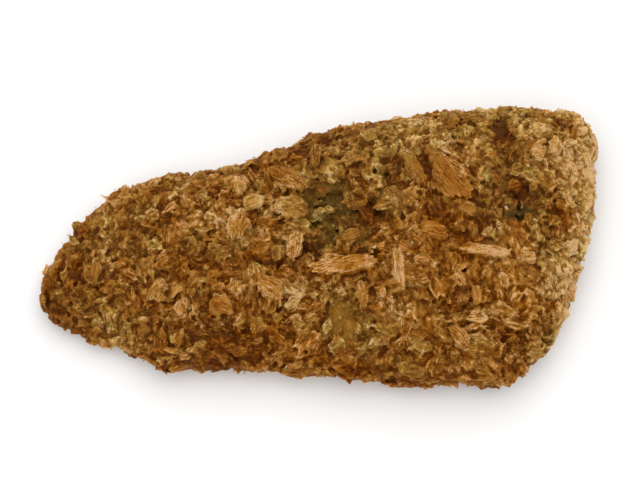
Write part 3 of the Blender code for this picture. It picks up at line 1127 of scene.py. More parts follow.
@dataclass(frozen=True)
class CrumbGrade:
    """One grade of loose crumb. Pairs are lower and upper limits, lengths in millimetres."""

    name: str
    patterns: tuple[FlakePattern | BundlePattern | StrandPattern | LumpPattern, ...]
    count: int
    length: float
    spread: float
    limits: tuple[float, float]
    slenderness: tuple[float, float]
    thickness: tuple[float, float]
    lean: tuple[float, float]
    lift: tuple[float, float]
    spacing: float = 0.0
    bend: float = 90.0
    cup: float = 160.0
    twist: float = 90.0
    toast: float = 0.42
    uneven: float = 0.16
    motley: float = 0.22  # spread of its tint
    follow: float = 0.0  # how closely its crumbs keep to the clumps' grain, tone and height
    stray: float = 16.0  # and by how many degrees they still stray from the grain
    on_bare: float = 0.0
    clears: float = 0.0  # how far round a bare place it is missing too
    thins: float = 0.0  # how far it follows the zones in which crumbs are missing
    sharp: float = 80.0
    matted: bool = True  # or loose, and then only where a crumb can lie
    # The colour reads the next two for painted shade, partly oil: less height darkens, and a
    # hollow below 0 gives painted light as on a ridge.
    rise: float = 1.2 * MM  # height above the skin and depth in the hollows, if it is loose
    hollow: float = -0.1

    def seats(self, skin: FilletSkin, clumps: ClumpField, rng: Generator) -> Seats:
        """Return where the crumbs of this grade lie on a skin.

        Args:
            skin: The skin on which it lies.
            clumps: The clumps that the crumbs keep to.
            rng: Source of the random draws.

        Returns:
            The seats, with the size, bend and tone of each crumb.
        """
        places, normals = skin.scatter(self.count, rng)
        size = zone_value(places, "size")
        length = self.length * np.exp(rng.normal(0, self.spread, len(places))) * (1 + size)
        length = np.clip(length, *self.limits)
        keep = self._off_bare(places, rng) & self._off_flakes(places, rng)
        if not self.matted:
            keep &= (places[:, 2] > LOOSE_FROM) & (normals[:, 2] > 0.2)
        if self.spacing:
            keep &= spaced_out(places, length * self.spacing * MM, keep)
        places, normals, length = places[keep], normals[keep], length[keep]
        count = len(places)
        under = smooth_step(-normals[:, 2], 0.3, 0.8)
        free = 1 - 0.8 * under  # the crumbs that the fillet rests on are pressed flat
        slender = rng.uniform(*self.slenderness, count)
        thick = rng.uniform(*self.thickness, count)
        upright = smooth_step(np.abs(normals[:, 2]), 0.1, 0.6)
        lean = np.radians(rng.uniform(*self.lean, count)) * (0.3 + 0.7 * upright)
        spin, side = rng.uniform(0, 2 * math.pi, (2, count))
        clump, inner = clumps.find(places)
        stray = rng.normal(0, math.radians(self.stray), count)
        grain = clumps.grain(places, normals, clump) + stray
        spin = np.where(rng.random(count) < self.follow, grain, spin)
        rise = self.follow * (clumps.height[clump] * inner - 0.4 * (1 - inner))
        lift = (rng.uniform(*self.lift, count) + rise) * MM * free
        tone = self.follow * (clumps.toast[clump] + 0.10 * (1 - inner))
        bend = rng.normal(0, self.bend, count) * free
        cup = rng.normal(0, self.cup, count) * free
        sizes = np.stack([length, length * slender, thick], axis=1) * MM
        axes = turned_axes(normals, spin, lean, side)
        offset = np.einsum("mji,mj->mi", axes, places - clumps.places[clump])
        return Seats(
            places + normals * lift[:, None],
            normals,
            axes,
            sizes,
            bend,
            cup,
            rng.normal(0, self.twist, count),
            self.toast + tone + rng.normal(0, self.uneven, count) + 0.12 * under,
            self.follow * clumps.tint[clump] + rng.normal(0, self.motley, count),
            offset + clumps.start[clump],
        )

    def _off_bare(self, places: Array, rng: Generator) -> Array:
        """Return which places are kept, so that few crumbs lie on the bare places.

        Args:
            places: One row for each place, in metres.
            rng: Source of the random draws.

        Returns:
            True for each place that is kept.
        """
        bare = bareness(places, self.clears) * (1 - self.on_bare)
        gone = np.maximum(bare, self.thins * zone_value(places, "sparse"))
        return rng.random(len(places)) > gone

    def _off_flakes(self, places: Array, rng: Generator) -> Array:
        """Return which places are kept, so that the placed flakes aren't buried.

        Args:
            places: One row for each place, in metres.
            rng: Source of the random draws.

        Returns:
            True for each place that is kept.
        """
        free = np.ones(len(places), bool)
        for flake in FLAKES:
            near = flake.radius(places) < flake.clear
            free &= ~near | (places[:, 2] < SHOWN_FROM) | (rng.random(len(places)) < 0.1)
        return free

    def lay_in(
        self, heap: CrumbHeap, skin: FilletSkin, clumps: ClumpField, rng: Generator
    ) -> None:
        """Lay the whole grade on a skin, in its clumps, and add it to a heap.

        Args:
            heap: The heap that gets it.
            skin: The skin on which it lies.
            clumps: The clumps that the crumbs keep to.
            rng: Source of the random draws.
        """
        seats = self.seats(skin, clumps, rng)
        kinds = rng.integers(0, len(self.patterns), len(seats.places))
        for number, pattern in enumerate(self.patterns):
            heap.lay(pattern.build(), seats.part(kinds == number))

    def build(
        self, skin: FilletSkin, clumps: ClumpField, rng: Generator
    ) -> Object:
        """Lay the whole grade on a skin and return it as one object of loose crumbs.

        Args:
            skin: The skin on which it lies.
            clumps: The clumps that the crumbs keep to.
            rng: Source of the random draws.

        Returns:
            The object.
        """
        heap = CrumbHeap()
        self.lay_in(heap, skin, clumps, rng)
        points, triangles, values = heap.joined()
        add_zones(values, points)
        values["rise"] = np.full(len(points), self.rise)
        values["hollow"] = np.full(len(points), self.hollow)
        return make_piece(self.name, points, triangles, values)


def spaced_out(places: Array, gaps: Array, allowed: Array) -> Array:
    """Return which places to keep so that none is closer to an earlier one than its gap.

    Args:
        places: Candidate places, in metres.
        gaps: The least distance for each place.
        allowed: Which candidates may be kept at all.

    Returns:
        True for each place that is kept.
    """
    side = float(gaps.max())
    cells: dict[tuple[int, int, int], list[int]] = {}
    keep = np.zeros(len(places), bool)
    keys = np.floor(places / side).astype(int)
    around = [(i, j, k) for i in (-1, 0, 1) for j in (-1, 0, 1) for k in (-1, 0, 1)]
    for index in np.flatnonzero(allowed):
        key = keys[index]
        near: list[int] = []
        for step in around:
            near += cells.get((key[0] + step[0], key[1] + step[1], key[2] + step[2]), [])
        if near:
            distance = np.linalg.norm(places[near] - places[index], axis=1)
            if (distance < np.minimum(gaps[near], gaps[index])).any():
                continue
        keep[index] = True
        cells.setdefault(tuple(key), []).append(index)
    return keep


# ------------------------------------------------------ flakes placed one by one


@dataclass(frozen=True)
class PlacedFlake(Oval):
    """A large flake with its own place, size, turn and tone."""

    lift: float = 0.9  # height of its middle above the skin, in millimetres
    thick: float = 1.1
    toast: float = 0.38
    strips: float = 1.0  # how closely strips cover it, or 0 for a plain sheet
    fan: float = 0.0  # by how many degrees its strips spread
    tear: float = 0.07
    crown: float = 0.9  # how much its middle stands above its edge, in millimetres
    clear: float = 0.72  # share of its size that hardly any crumbs lie on


FLAKES = (
    PlacedFlake(
        4.7, -7.6, 19, 5.6, 8, 1.2, 1.6, toast=0.36, strips=1.2, tear=0.06, crown=1.5, clear=1.2
    ),
    PlacedFlake(8.6, -7.2, 11, 4.8, 9, 1.5, 1.5, toast=0.37, strips=1.2, tear=0.06, crown=1.2),
    PlacedFlake(
        31.8, 14, 15.5, 11, -50, 0.5, 1.4, toast=0.37, fan=30, tear=0.03, crown=1.4, clear=0.95
    ),
    PlacedFlake(27.7, 19.3, 5, 4, 30, 1.4, toast=0.45),
    PlacedFlake(22, 17, 13, 5, -62, 1.3, toast=0.50, clear=1.0),
    PlacedFlake(-20.5, 2.6, 10, 6, 75, 1.4, toast=0.22, strips=1.3, fan=20),
    PlacedFlake(-8.4, 14.4, 13, 6.5, -32, 1.0, 1.2, toast=0.50, fan=25),
    PlacedFlake(-7.9, 6.7, 11, 8, 3, 0.9, toast=0.45),
    PlacedFlake(-16.7, 8.7, 6.5, 5, 20, 1.0, toast=0.42),
    PlacedFlake(-20.1, 13.7, 6.5, 5.5, 88, 1.0, toast=0.40),
    PlacedFlake(-1.6, 21, 8.5, 3.2, 85, 1.0, toast=0.44),
    PlacedFlake(-6.6, -2.8, 8.5, 5, 75, 1.1, toast=0.38),
    PlacedFlake(6.9, -0.4, 5.5, 4.5, 20, 1.0, toast=0.38),
    PlacedFlake(9.8, -14.6, 7.5, 4, 100, 1.2, toast=0.38),
    PlacedFlake(18.3, -8.3, 12, 4, 95, 1.2, toast=0.40),
    PlacedFlake(16.7, 8.9, 7, 3.6, -45, 1.0, toast=0.26),
    PlacedFlake(-24, -17.2, 7.5, 6, -20, 1.2, toast=0.36),
    PlacedFlake(-12.2, -12.8, 9, 6, -30, 1.0, toast=0.42),
    PlacedFlake(38.9, -4.1, 14, 3.8, -5, 1.3, toast=0.32, clear=1.1),
    PlacedFlake(49.7, -5.6, 4.5, 3.4, 0, 1.1, toast=0.34),
    PlacedFlake(32.4, -24.6, 8, 4.5, -45, 1.1, toast=0.36),
    PlacedFlake(26.7, 1, 9, 5.5, -15, 1.0, toast=0.36),
    PlacedFlake(35.3, 6.3, 6, 4.5, -15, 1.2, toast=0.30),
    PlacedFlake(32.8, -11, 5, 4, -60, 1.0, toast=0.36),
    PlacedFlake(-39.5, -13, 7, 5, 60, 1.2, toast=0.42),
    PlacedFlake(-38.6, -6, 5.5, 4, 45, 1.0, toast=0.40),
    PlacedFlake(57.3, 23, 6.5, 4, 88, 1.1, toast=0.32),
    PlacedFlake(52.8, 21, 5, 4.5, 0, 1.0, toast=0.32),
    PlacedFlake(46.6, 12.2, 4.5, 3.8, 20, 1.0, toast=0.30),
    PlacedFlake(-55, -7.5, 5, 3.5, 80, 1.0, toast=0.46),
    PlacedFlake(36.8, -15, 5.5, 3, 90, 1.0, toast=0.44),
    PlacedFlake(49.1, 27.2, 4.5, 2, 85, 1.0, toast=0.36),
)


@dataclass(frozen=True)
class Strip:
    """One strand or sheet of a placed flake. Millimetres, and degrees from the flake's length."""

    along: float
    across: float
    lift: float
    turn: float
    length: float
    width: float
    thick: float


@dataclass
class LargeFlakes:
    """The large flakes that can be told apart: each a torn sheet under many strands."""

    heap: CrumbHeap
    skin: FilletSkin
    rng: Generator
    pattern: FlakePattern = FlakePattern(
        seed=200,
        columns=22,
        rows=10,
        cuts=7,
        reach=(0.8, 0.99),
        fray=(0.78, 1.0),
        step=0.2,
        ridge=0.6,
        warp=0.7,
        faces=420,
    )
    strand_length: float = 4.0  # millimetres
    strand_width: float = 0.75
    kinds: int = 10
    sheet: tuple[float, float, float] = (0.9, 0.86, 1.2)  # the sheet's share of the flake's size
    cover: float = 1.5  # how many times the strands would cover the flake
    tint: tuple[float, float] = (0.05, 0.2)  # middle and spread
    darker: float = 0.12  # added to each flake's own toast
    uneven: float = 0.1  # spread of its strips' toast
    motley: float = 0.15  # and of their tint
    bend: float = 25.0  # spread of their bends
    twist: float = 60.0
    follow: float = 0.75  # how closely a flake follows the skin below it
    spare: float = 0.3  # millimetres that are kept free above it, up to the fillet's box

    def lay(self) -> None:
        """Model every placed flake, bend it over the skin below it and add it to the heap."""
        strands = [StrandPattern(150 + kind, wander=0.3).build() for kind in range(self.kinds)]
        for number, flake in enumerate(FLAKES):
            pattern = replace(self.pattern, seed=self.pattern.seed + number, tear=flake.tear)
            whole = (flake.length, flake.width, flake.thick)
            sheet = Strip(0, 0, -0.1, 0, *(share * part for share, part in zip(self.sheet, whole)))
            start = self.rng.uniform(-GRAIN_START, GRAIN_START, 3) * MM
            tint = self.rng.normal(*self.tint)
            self._lay_strip(pattern.build(), flake, sheet, start, tint)
            for strip in self._strips(flake):
                net = strands[self.rng.integers(len(strands))]
                self._lay_strip(net, flake, strip, start, tint)

    def _strips(self, flake: PlacedFlake) -> list[Strip]:
        """Return the strands of one flake.

        Args:
            flake: The flake.

        Returns:
            The strands, with their places and sizes.
        """
        rng = self.rng
        area = flake.length * flake.width * OVAL_SHARE
        strand = self.strand_length * self.strand_width
        count = round(self.cover * flake.strips * area / strand)
        strips = []
        for _ in range(count):
            radius, angle = math.sqrt(rng.random()) * 0.95, rng.uniform(0, 2 * math.pi)
            along = radius * math.cos(angle) * (flake.length / 2 - 0.25 * self.strand_length)
            across = radius * math.sin(angle) * flake.width / 2
            turn = 2 * flake.fan * across / flake.width + rng.normal(0, 10)
            length = self.strand_length * rng.uniform(0.6, 1.5) * (1.1 - 0.5 * radius)
            width = self.strand_width * rng.uniform(0.7, 1.4)
            lift = rng.uniform(-0.15, 0.4)
            strips.append(Strip(along, across, lift, turn, length, width, 0.9 * width))
        return strips

    def _lay_strip(
        self, net: PatternMesh, flake: PlacedFlake, strip: Strip, start: Array, tint: float
    ) -> None:
        """Lay one strip of a flake, bend it over the skin and crown it.

        Args:
            net: Its pattern.
            flake: The flake.
            strip: Its place and size in the flake.
            start: Where the flake's grain starts.
            tint: The flake's tint.
        """
        rng = self.rng
        own = Matrix.Rotation(math.radians(flake.turn), 3, "Z")
        shift = own @ Vector((strip.along, strip.across, 0))
        axes = own @ Matrix.Rotation(math.radians(strip.turn), 3, "Z")
        offset = axes.transposed() @ shift
        seats = Seats(
            np.array([[flake.x + shift.x, flake.y + shift.y, 0.0]]) * MM,
            np.array([[0.0, 0, 1]]),
            np.array([axes]),
            np.array([[strip.length, strip.width, strip.thick]]) * MM,
            rng.normal(0, self.bend, 1),
            np.zeros(1),
            rng.normal(0, self.twist, 1),
            np.array([flake.toast + self.darker + rng.normal(0, self.uneven)]),
            np.array([tint + rng.normal(0, self.motley)]),
            np.array([offset]) * MM + start,
        )
        self.heap.lay(net, seats)
        laid = self.heap.points[-1]
        drape = np.array([self.skin.top_at(x, y) for x, y, _ in laid])
        middle = self.skin.top_at(flake.x * MM, flake.y * MM)
        room = (CAD_BOX[1][2] - middle) / MM - self.spare
        stand = min(flake.lift + flake.crown, room)
        height = min(flake.crown, max(stand, 0.3))
        crown = height * np.clip(1 - flake.radius(laid) ** 2, 0, 1)
        lift = stand - height + strip.lift + crown
        laid[:, 2] += self.follow * drape + (1 - self.follow) * middle + lift * MM


# ---------------------------------------------------------- the matted crust


class Slice(Enum):
    """A piece of the crust, with the places along the fillet where it is cut, in millimetres."""

    TAIL = ("crust_tail", None, -29.0)
    FRONT = ("crust_front", -29.0, -4.0)
    MIDDLE = ("crust_middle", -4.0, 18.0)
    BACK = ("crust_back", 18.0, 40.0)
    THICK_END = ("crust_thick_end", 40.0, None)


@dataclass
class MattedCrust:
    """Core and crumbs fried together: one closed net, softened and cut across."""

    net: float = 0.3 * MM
    softening: int = 1
    sharp: float = 180.0  # degrees, so that no edge is kept sharp
    lap: float = 3.0 * MM  # how far a piece reaches into its neighbour
    sink: float = 0.45 * MM  # and how deep it dips under the neighbour's surface there
    under: float = 1.6 * MM  # depth below the skin from which a cut is closed straight across
    near_rounds: int = 6  # rounds of smoothing that tell narrow gaps
    near_depth: float = 0.12 * MM
    wide_rounds: int = 70  # and wide ones
    wide_depth: float = 0.6 * MM
    points: Array = field(init=False)
    normals: Array = field(init=False)
    faces: Array = field(init=False)
    edges: Array = field(init=False)
    pieces: list[Object] = field(default_factory=list)

    def build(self, heap: CrumbHeap, skin: FilletSkin) -> None:
        """Mat a heap into one crust and cut it.

        Args:
            heap: The core and everything that is matted with it.
            skin: The smooth skin, above which heights are taken.
        """
        points, triangles, values = heap.joined()
        self._mat(make_piece("whole_crust", points, triangles, {}))
        carried = self._carry_over(points, triangles, values)
        rise = self._rise(skin)
        low = 1 - smooth_step(rise, 0.1 * MM, 1.0 * MM)
        carried |= {"rise": rise, "hollow": self._hollow()}
        add_zones(carried, self.points)
        for kind, share in bare_cover(self.points).items():
            carried[kind.value] = share * low
        self.pieces = [self._slice(part, carried, skin) for part in Slice]

    def _mat(self, whole: Object) -> None:
        """Close all crumbs and the core into one net, and keep what hangs together.

        Args:
            whole: The net of all crumbs and the core.
        """
        remesh(whole, self.net, self.softening)
        mesh = whole.data
        points = read_vectors(mesh.vertices, "co")
        normals = read_vectors(mesh.vertex_normals, "vector")
        faces = read_indices(mesh.loops, "vertex_index").reshape(-1, 4)
        edges = read_indices(mesh.edges, "vertices", 2)
        bpy.data.objects.remove(whole)
        keep = largest_part(len(points), edges)
        number = np.cumsum(keep) - 1
        self.points, self.normals = points[keep], normals[keep]
        self.faces = number[faces[keep[faces[:, 0]]]]
        self.edges = number[edges[keep[edges[:, 0]]]]

    def _carry_over(self, points: Array, triangles: Array, values: Values) -> Values:
        """Return the values of the nearest crumb at every point of the crust.

        Args:
            points: The heap's points.
            triangles: The corners' indices, one row for each triangle.
            values: The values at the points, by their names.

        Returns:
            The values at the points of the crust, by their names.
        """
        tree = BVHTree.FromPolygons(points.tolist(), triangles.tolist())
        found = [tree.find_nearest(Vector(point)) for point in self.points]
        place = np.array([hit[0] for hit in found])
        corners = triangles[[hit[2] for hit in found]]
        first, second, third = (points[corners[:, side]] for side in range(3))
        whole = spanned(second - first, third - first) + 1e-12
        rays = [corner - place for corner in (first, second, third)]
        parts = [spanned(rays[side - 2], rays[side - 1]) / whole for side in range(3)]
        share = np.clip(np.stack(parts, axis=1), 0, 1)
        share /= share.sum(axis=1)[:, None] + 1e-9
        carried = {}
        for name, rows in values.items():
            weights = share if rows.ndim == 1 else share[..., None]
            carried[name] = (rows[corners] * weights).sum(axis=1)
        return carried

    def _rise(self, skin: FilletSkin) -> Array:
        """Return every point's height above the smooth skin, in metres.

        Args:
            skin: The smooth skin below the crumbs.

        Returns:
            One height for each point.
        """
        found = [skin.tree.find_nearest(Vector(point))[:2] for point in self.points]
        place, normal = (np.array([hit[side] for hit in found]) for side in range(2))
        return ((self.points - place) * normal).sum(axis=1)

    def _hollow(self) -> Array:
        """Return how deep each point lies between its neighbours: 1 in gaps, -1 on ridges. The
        colour reads it as painted shade in the gaps and painted light on the ridges.

        Returns:
            One number for each point.
        """
        near = self._depth(self.near_rounds) / self.near_depth
        wide = self._depth(self.wide_rounds) / self.wide_depth
        return np.clip(0.25 * near, -0.4, 0.4) + np.clip(0.75 * wide, -0.35, 0.8)

    def skin(self) -> FilletSkin:
        """Return the crust's own surface, on which loose crumbs are seated."""
        triangles = np.concatenate([self.faces[:, :3], self.faces[:, [0, 2, 3]]])
        return FilletSkin(self.points, self.normals, triangles)

    def _depth(self, rounds: int) -> Array:
        """Return how far each point lies below the net that some rounds of smoothing leave.

        Args:
            rounds: How many rounds.

        Returns:
            One depth in metres for each point.
        """
        ends = np.concatenate([self.edges, self.edges[:, ::-1]])
        count = len(self.points)
        ties = np.bincount(ends[:, 0], minlength=count)
        level = self.points.copy()
        for _ in range(rounds):
            for axis in range(3):
                total = np.bincount(ends[:, 0], weights=level[ends[:, 1], axis], minlength=count)
                level[:, axis] = total / ties
        return ((level - self.points) * self.normals).sum(axis=1)

    def _slice(self, part: Slice, values: Values, skin: FilletSkin) -> Object:
        """Return one slice of the crust, closed where it is cut and lapped with the next one.

        Args:
            part: Which slice.
            values: The values of all points of the crust.
            skin: The smooth skin, below which the cut is closed.

        Returns:
            The slice, linked to the scene.
        """
        name, start, end = part.value
        along = self.points[:, 0]
        beyond = np.zeros(len(along))
        spare = 2 * self.net
        inside = np.ones(len(along), bool)
        if start is not None:
            beyond = np.maximum(beyond, start * MM - along)
            inside &= along > start * MM - self.lap - spare
        if end is not None:
            beyond = np.maximum(beyond, along - end * MM)
            inside &= along < end * MM + self.lap + spare
        dip = self.normals * (smooth_step(beyond, 0, self.lap / 2) * self.sink)[:, None]
        faces = self.faces[inside[self.faces].all(axis=1)]
        used = np.zeros(len(along), bool)
        used[faces] = True
        number = np.cumsum(used) - 1
        own = {key: rows[used] for key, rows in (values | {"dip": dip}).items()}
        piece = make_piece(name, self.points[used], number[faces], own)
        cuts = [(place, side) for place, side in ((start, -1), (end, 1)) if place is not None]
        with editing(piece):
            for place, outward in cuts:
                select_net()
                bpy.ops.mesh.bisect(
                    plane_co=(place * MM + outward * self.lap, 0, 0),
                    plane_no=(outward, 0, 0),
                    clear_outer=True,
                )
                bpy.ops.mesh.mark_sharp()
                self._close_cut(piece, skin)
        dips = piece.data.attributes["dip"]
        points = read_vectors(piece.data.vertices, "co") - read_vectors(dips.data, "vector")
        piece.data.attributes.remove(dips)
        move_points(piece.data, points)
        return piece

    def _close_cut(self, piece: Object, skin: FilletSkin) -> None:
        """Close the selected edge of a cut, which has just been made.

        The edge is drawn straight down to a smooth line under the skin, and from there to the
        cut's middle, so that nothing spans the gaps between the crumbs.

        Args:
            piece: The slice, in edit mode.
            skin: The smooth skin below the crumbs.
        """
        bpy.ops.mesh.extrude_edges_move()
        net = bmesh.from_edit_mesh(piece.data)
        for vert in net.verts:
            if vert.select:
                place, normal, _, _ = skin.tree.find_nearest(vert.co)
                deep = place - normal * self.under
                vert.co = (vert.co.x, deep.y, deep.z)
        bmesh.update_edit_mesh(piece.data)
        bpy.ops.mesh.extrude_edges_move()
        bpy.ops.mesh.merge(type="CENTER")


def largest_part(count: int, edges: Array) -> Array:
    """Return which points belong to the largest part of a net that hangs together.

    Args:
        count: How many points there are.
        edges: Pairs of joined points.

    Returns:
        True for each point of the largest part.
    """
    label = np.arange(count)
    while True:
        lower = np.minimum(label[edges[:, 0]], label[edges[:, 1]])
        new = label.copy()
        np.minimum.at(new, edges[:, 0], lower)
        np.minimum.at(new, edges[:, 1], lower)
        new = new[new]
        if (new == label).all():
            break
        label = new
    return label == np.bincount(label).argmax()


# ---------------------------------------------------------------- finishes


@dataclass
class NodeBench:
    """A node tree that is being wired: adds nodes, sets their values and joins them."""

    tree: bpy.types.NodeTree

    def add(self, kind: str, **settings: object) -> bpy.types.Node:
        """Add a node of a kind and set its own properties.

        Args:
            kind: The node's kind.
            settings: Its own properties, by their names.

        Returns:
            The node.
        """
        node = self.tree.nodes.new(kind)
        for name, value in settings.items():
            setattr(node, name, value)
        return node

    def put(self, source: Socket | float | tuple, target: Socket) -> None:
        """Join a socket to an input, or set the input's value.

        Args:
            source: The socket or the value.
            target: The input.
        """
        if isinstance(source, Socket):
            self.tree.links.new(source, target)
        else:
            target.default_value = source

    def feed(self, node: bpy.types.Node, sources: dict[str, Socket | float | tuple]) -> None:
        """Join or set several inputs of a node by their names."""
        for name, source in sources.items():
            self.put(source, node.inputs[name])

    def maths(self, operation: str, *values: Socket | float) -> Socket:
        """Add a Math node and return its result.

        Args:
            operation: What it does.
            values: Its inputs, in their order.

        Returns:
            The socket of the result.
        """
        node = self.add("ShaderNodeMath", operation=operation)
        for number, value in enumerate(values):
            self.put(value, node.inputs[number])
        return node.outputs[0]

    def weigh(
        self, value: Socket, middle: float, share: Socket | float, base: Socket | float
    ) -> Socket:
        """Return a base plus a share of how far a value lies from its middle."""
        return self.maths("MULTIPLY_ADD", self.maths("SUBTRACT", value, middle), share, base)

    def between(
        self, value: Socket, low: float, high: float, start: float, end: float
    ) -> Socket:
        """Map a value from low and high to start and end, smoothly and within them.

        Args:
            value: The value.
            low: The value that becomes start.
            high: The value that becomes end.
            start: The result at low.
            end: The result at high.

        Returns:
            The socket of the result.
        """
        node = self.add("ShaderNodeMapRange", interpolation_type="SMOOTHSTEP")
        for number, source in enumerate((value, low, high, start, end)):
            self.put(source, node.inputs[number])
        return node.outputs[0]

    def speckle(
        self, place: Socket, scale: float, detail: float = 2.0, rough: float = 0.5
    ) -> Socket:
        """Add a Noise texture and return its value.

        Args:
            place: Where the texture is read.
            scale: Swells for each unit of the place.
            detail: Layers of finer swells.
            rough: How strong those layers are.

        Returns:
            The socket of the value, from 0 to 1.
        """
        node = self.add("ShaderNodeTexNoise")
        self.feed(node, {"Vector": place, "Scale": scale, "Detail": detail, "Roughness": rough})
        return node.outputs["Fac"]

    def blend(
        self,
        share: Socket | float,
        first: Socket | Colour,
        second: Socket | Colour,
    ) -> Socket:
        """Add a colour Mix node and return its result.

        Args:
            share: How much of the second colour there is.
            first: The first colour.
            second: The second colour.

        Returns:
            The socket of the colour.
        """
        node = self.add("ShaderNodeMix", data_type="RGBA")
        self.put(share, node.inputs["Factor"])
        self.put(first, node.inputs[6])
        self.put(second, node.inputs[7])
        return node.outputs[2]

    def value_of(self, name: str, output: str = "Fac") -> Socket:
        """Read one of the mesh's stored values."""
        return self.add("ShaderNodeAttribute", attribute_name=name).outputs[output]


def open_group(name: str, inputs: dict[str, str], outputs: dict[str, str]) -> NodeBench:
    """Start a shader node group.

    Args:
        name: The group's name.
        inputs: Socket types by the inputs' names.
        outputs: Socket types by the outputs' names.

    Returns:
        A bench on the new group, with its Group Input and Group Output nodes.
    """
    tree = bpy.data.node_groups.new(name, "ShaderNodeTree")
    for socket, kind in inputs.items():
        tree.interface.new_socket(name=socket, in_out="INPUT", socket_type=kind)
    for socket, kind in outputs.items():
        tree.interface.new_socket(name=socket, in_out="OUTPUT", socket_type=kind)
    bench = NodeBench(tree)
    bench.add("NodeGroupInput")
    bench.add("NodeGroupOutput")
    return bench


@dataclass(frozen=True)
class ToastAndShade:
    """The colours that crumb goes through in hot oil, from pale to dark, with painted shade where
    the crumb lies low, in gaps and in the fibres' grooves, and painted light on ridges.
    """

    blotches: float = 62.0  # swells for each metre of the slow change of tone
    specks: float = 900.0  # and of the fast one
    straw: Colour = (0.67, 0.40, 0.180, 1)
    wheat: Colour = (0.50, 0.252, 0.064, 1)
    golden: Colour = (0.37, 0.155, 0.020, 1)
    amber: Colour = (0.27, 0.090, 0.006, 1)
    brown: Colour = (0.18, 0.046, 0.001, 1)
    dark: Colour = (0.095, 0.019, 0.0003, 1)

    def group(self) -> bpy.types.NodeTree:
        """Return the node group that gives crumb its colour, making it at the first call.

        Returns:
            The node group.
        """
        made = bpy.data.node_groups.get("toast_and_shade")
        if made is not None:
            return made
        names = ("Toast", "Tint", "Rise", "Hollow", "Rim", "Fibre")
        floats = dict.fromkeys(names, "NodeSocketFloat")
        vectors = {"Grain": "NodeSocketVector", "Place": "NodeSocketVector"}
        bench = open_group("toast_and_shade", floats | vectors, {"Color": "NodeSocketColor"})
        source = bench.tree.nodes["Group Input"].outputs
        slow = bench.speckle(source["Place"], self.blotches, 3, 0.65)
        fine = bench.speckle(source["Grain"], self.specks, 3, 0.65)
        # darker where the surface lies below the skin: partly oil that soaks in, partly painted
        # shade
        deep = bench.between(source["Rise"], -0.2 * MM, 1.3 * MM, 0.16, 0.0)
        # darker in the fibres' grooves: painted shade
        groove_shade = bench.between(source["Fibre"], 0.58, 0.88, 1.0, 0.0)
        tone = bench.maths("ADD", source["Toast"], deep)
        # darker in gaps and paler on ridges: painted shade and painted light, with some oil in the
        # gaps
        tone = bench.weigh(source["Hollow"], 0.0, 0.27, tone)
        for pattern, share in ((slow, 1.3), (fine, 0.6), (groove_shade, 0.62)):
            tone = bench.weigh(pattern, 0.5, share, tone)
        tone = bench.weigh(source["Rim"], 0.0, -0.10, tone)
        ramp = bench.add("ShaderNodeValToRGB")
        stops = ((0.14, self.wheat), (0.34, self.golden), (0.56, self.amber), (0.8, self.brown))
        ramp.color_ramp.elements[0].color = self.straw
        ramp.color_ramp.elements[1].position = 1.0
        ramp.color_ramp.elements[1].color = self.dark
        for place, colour in stops:
            ramp.color_ramp.elements.new(place).color = colour
        bench.put(tone, ramp.inputs["Fac"])
        shade = bench.add("ShaderNodeHueSaturation")
        hue = bench.between(source["Tint"], -0.4, 1.4, 0.499, 0.522)
        strong = bench.between(source["Tint"], -1.0, 1.4, 1.02, 0.95)
        bench.feed(shade, {"Hue": hue, "Saturation": strong, "Color": ramp.outputs["Color"]})
        bench.put(shade.outputs["Color"], bench.tree.nodes["Group Output"].inputs["Color"])
        return bench.tree


@dataclass(frozen=True)
class Fibres:
    """The torn, bready grain that runs along a crumb, and the oil that lies in it."""

    length: float = 430.0  # swells for each metre along the grain
    width: float = 2800.0  # and across it
    middle: float = 0.74  # the height to which calm places keep
    calm: float = 210.0  # swells for each metre of the change from torn to calm

    def group(self) -> bpy.types.NodeTree:
        """Return the node group for grain and oil, making it at the first call.

        Returns:
            The node group.
        """
        made = bpy.data.node_groups.get("fibres")
        if made is not None:
            return made
        outputs = {"Height": "NodeSocketFloat", "Roughness": "NodeSocketFloat"}
        inputs = {"Grain": "NodeSocketVector", "Place": "NodeSocketVector"}
        bench = open_group("fibres", inputs, outputs)
        source = bench.tree.nodes["Group Input"].outputs
        grain = source["Grain"]
        stretch = bench.add("ShaderNodeMapping", vector_type="POINT")
        bench.feed(stretch, {"Vector": grain, "Scale": (self.length, self.width, self.width)})
        fibre = bench.speckle(stretch.outputs["Vector"], 1.0, 2, 0.55)
        pores = bench.speckle(grain, 2600, 1)
        height = bench.maths("MULTIPLY_ADD", pores, 0.5, fibre)
        torn = bench.between(bench.speckle(source["Place"], self.calm, 2), 0.42, 0.58, 0.35, 1.1)
        height = bench.weigh(height, self.middle, torn, self.middle)
        oil = bench.between(bench.speckle(grain, 700, 1), 0.35, 0.65, 0.34, 0.60)
        bench.feed(bench.tree.nodes["Group Output"], {"Height": height, "Roughness": oil})
        return bench.tree


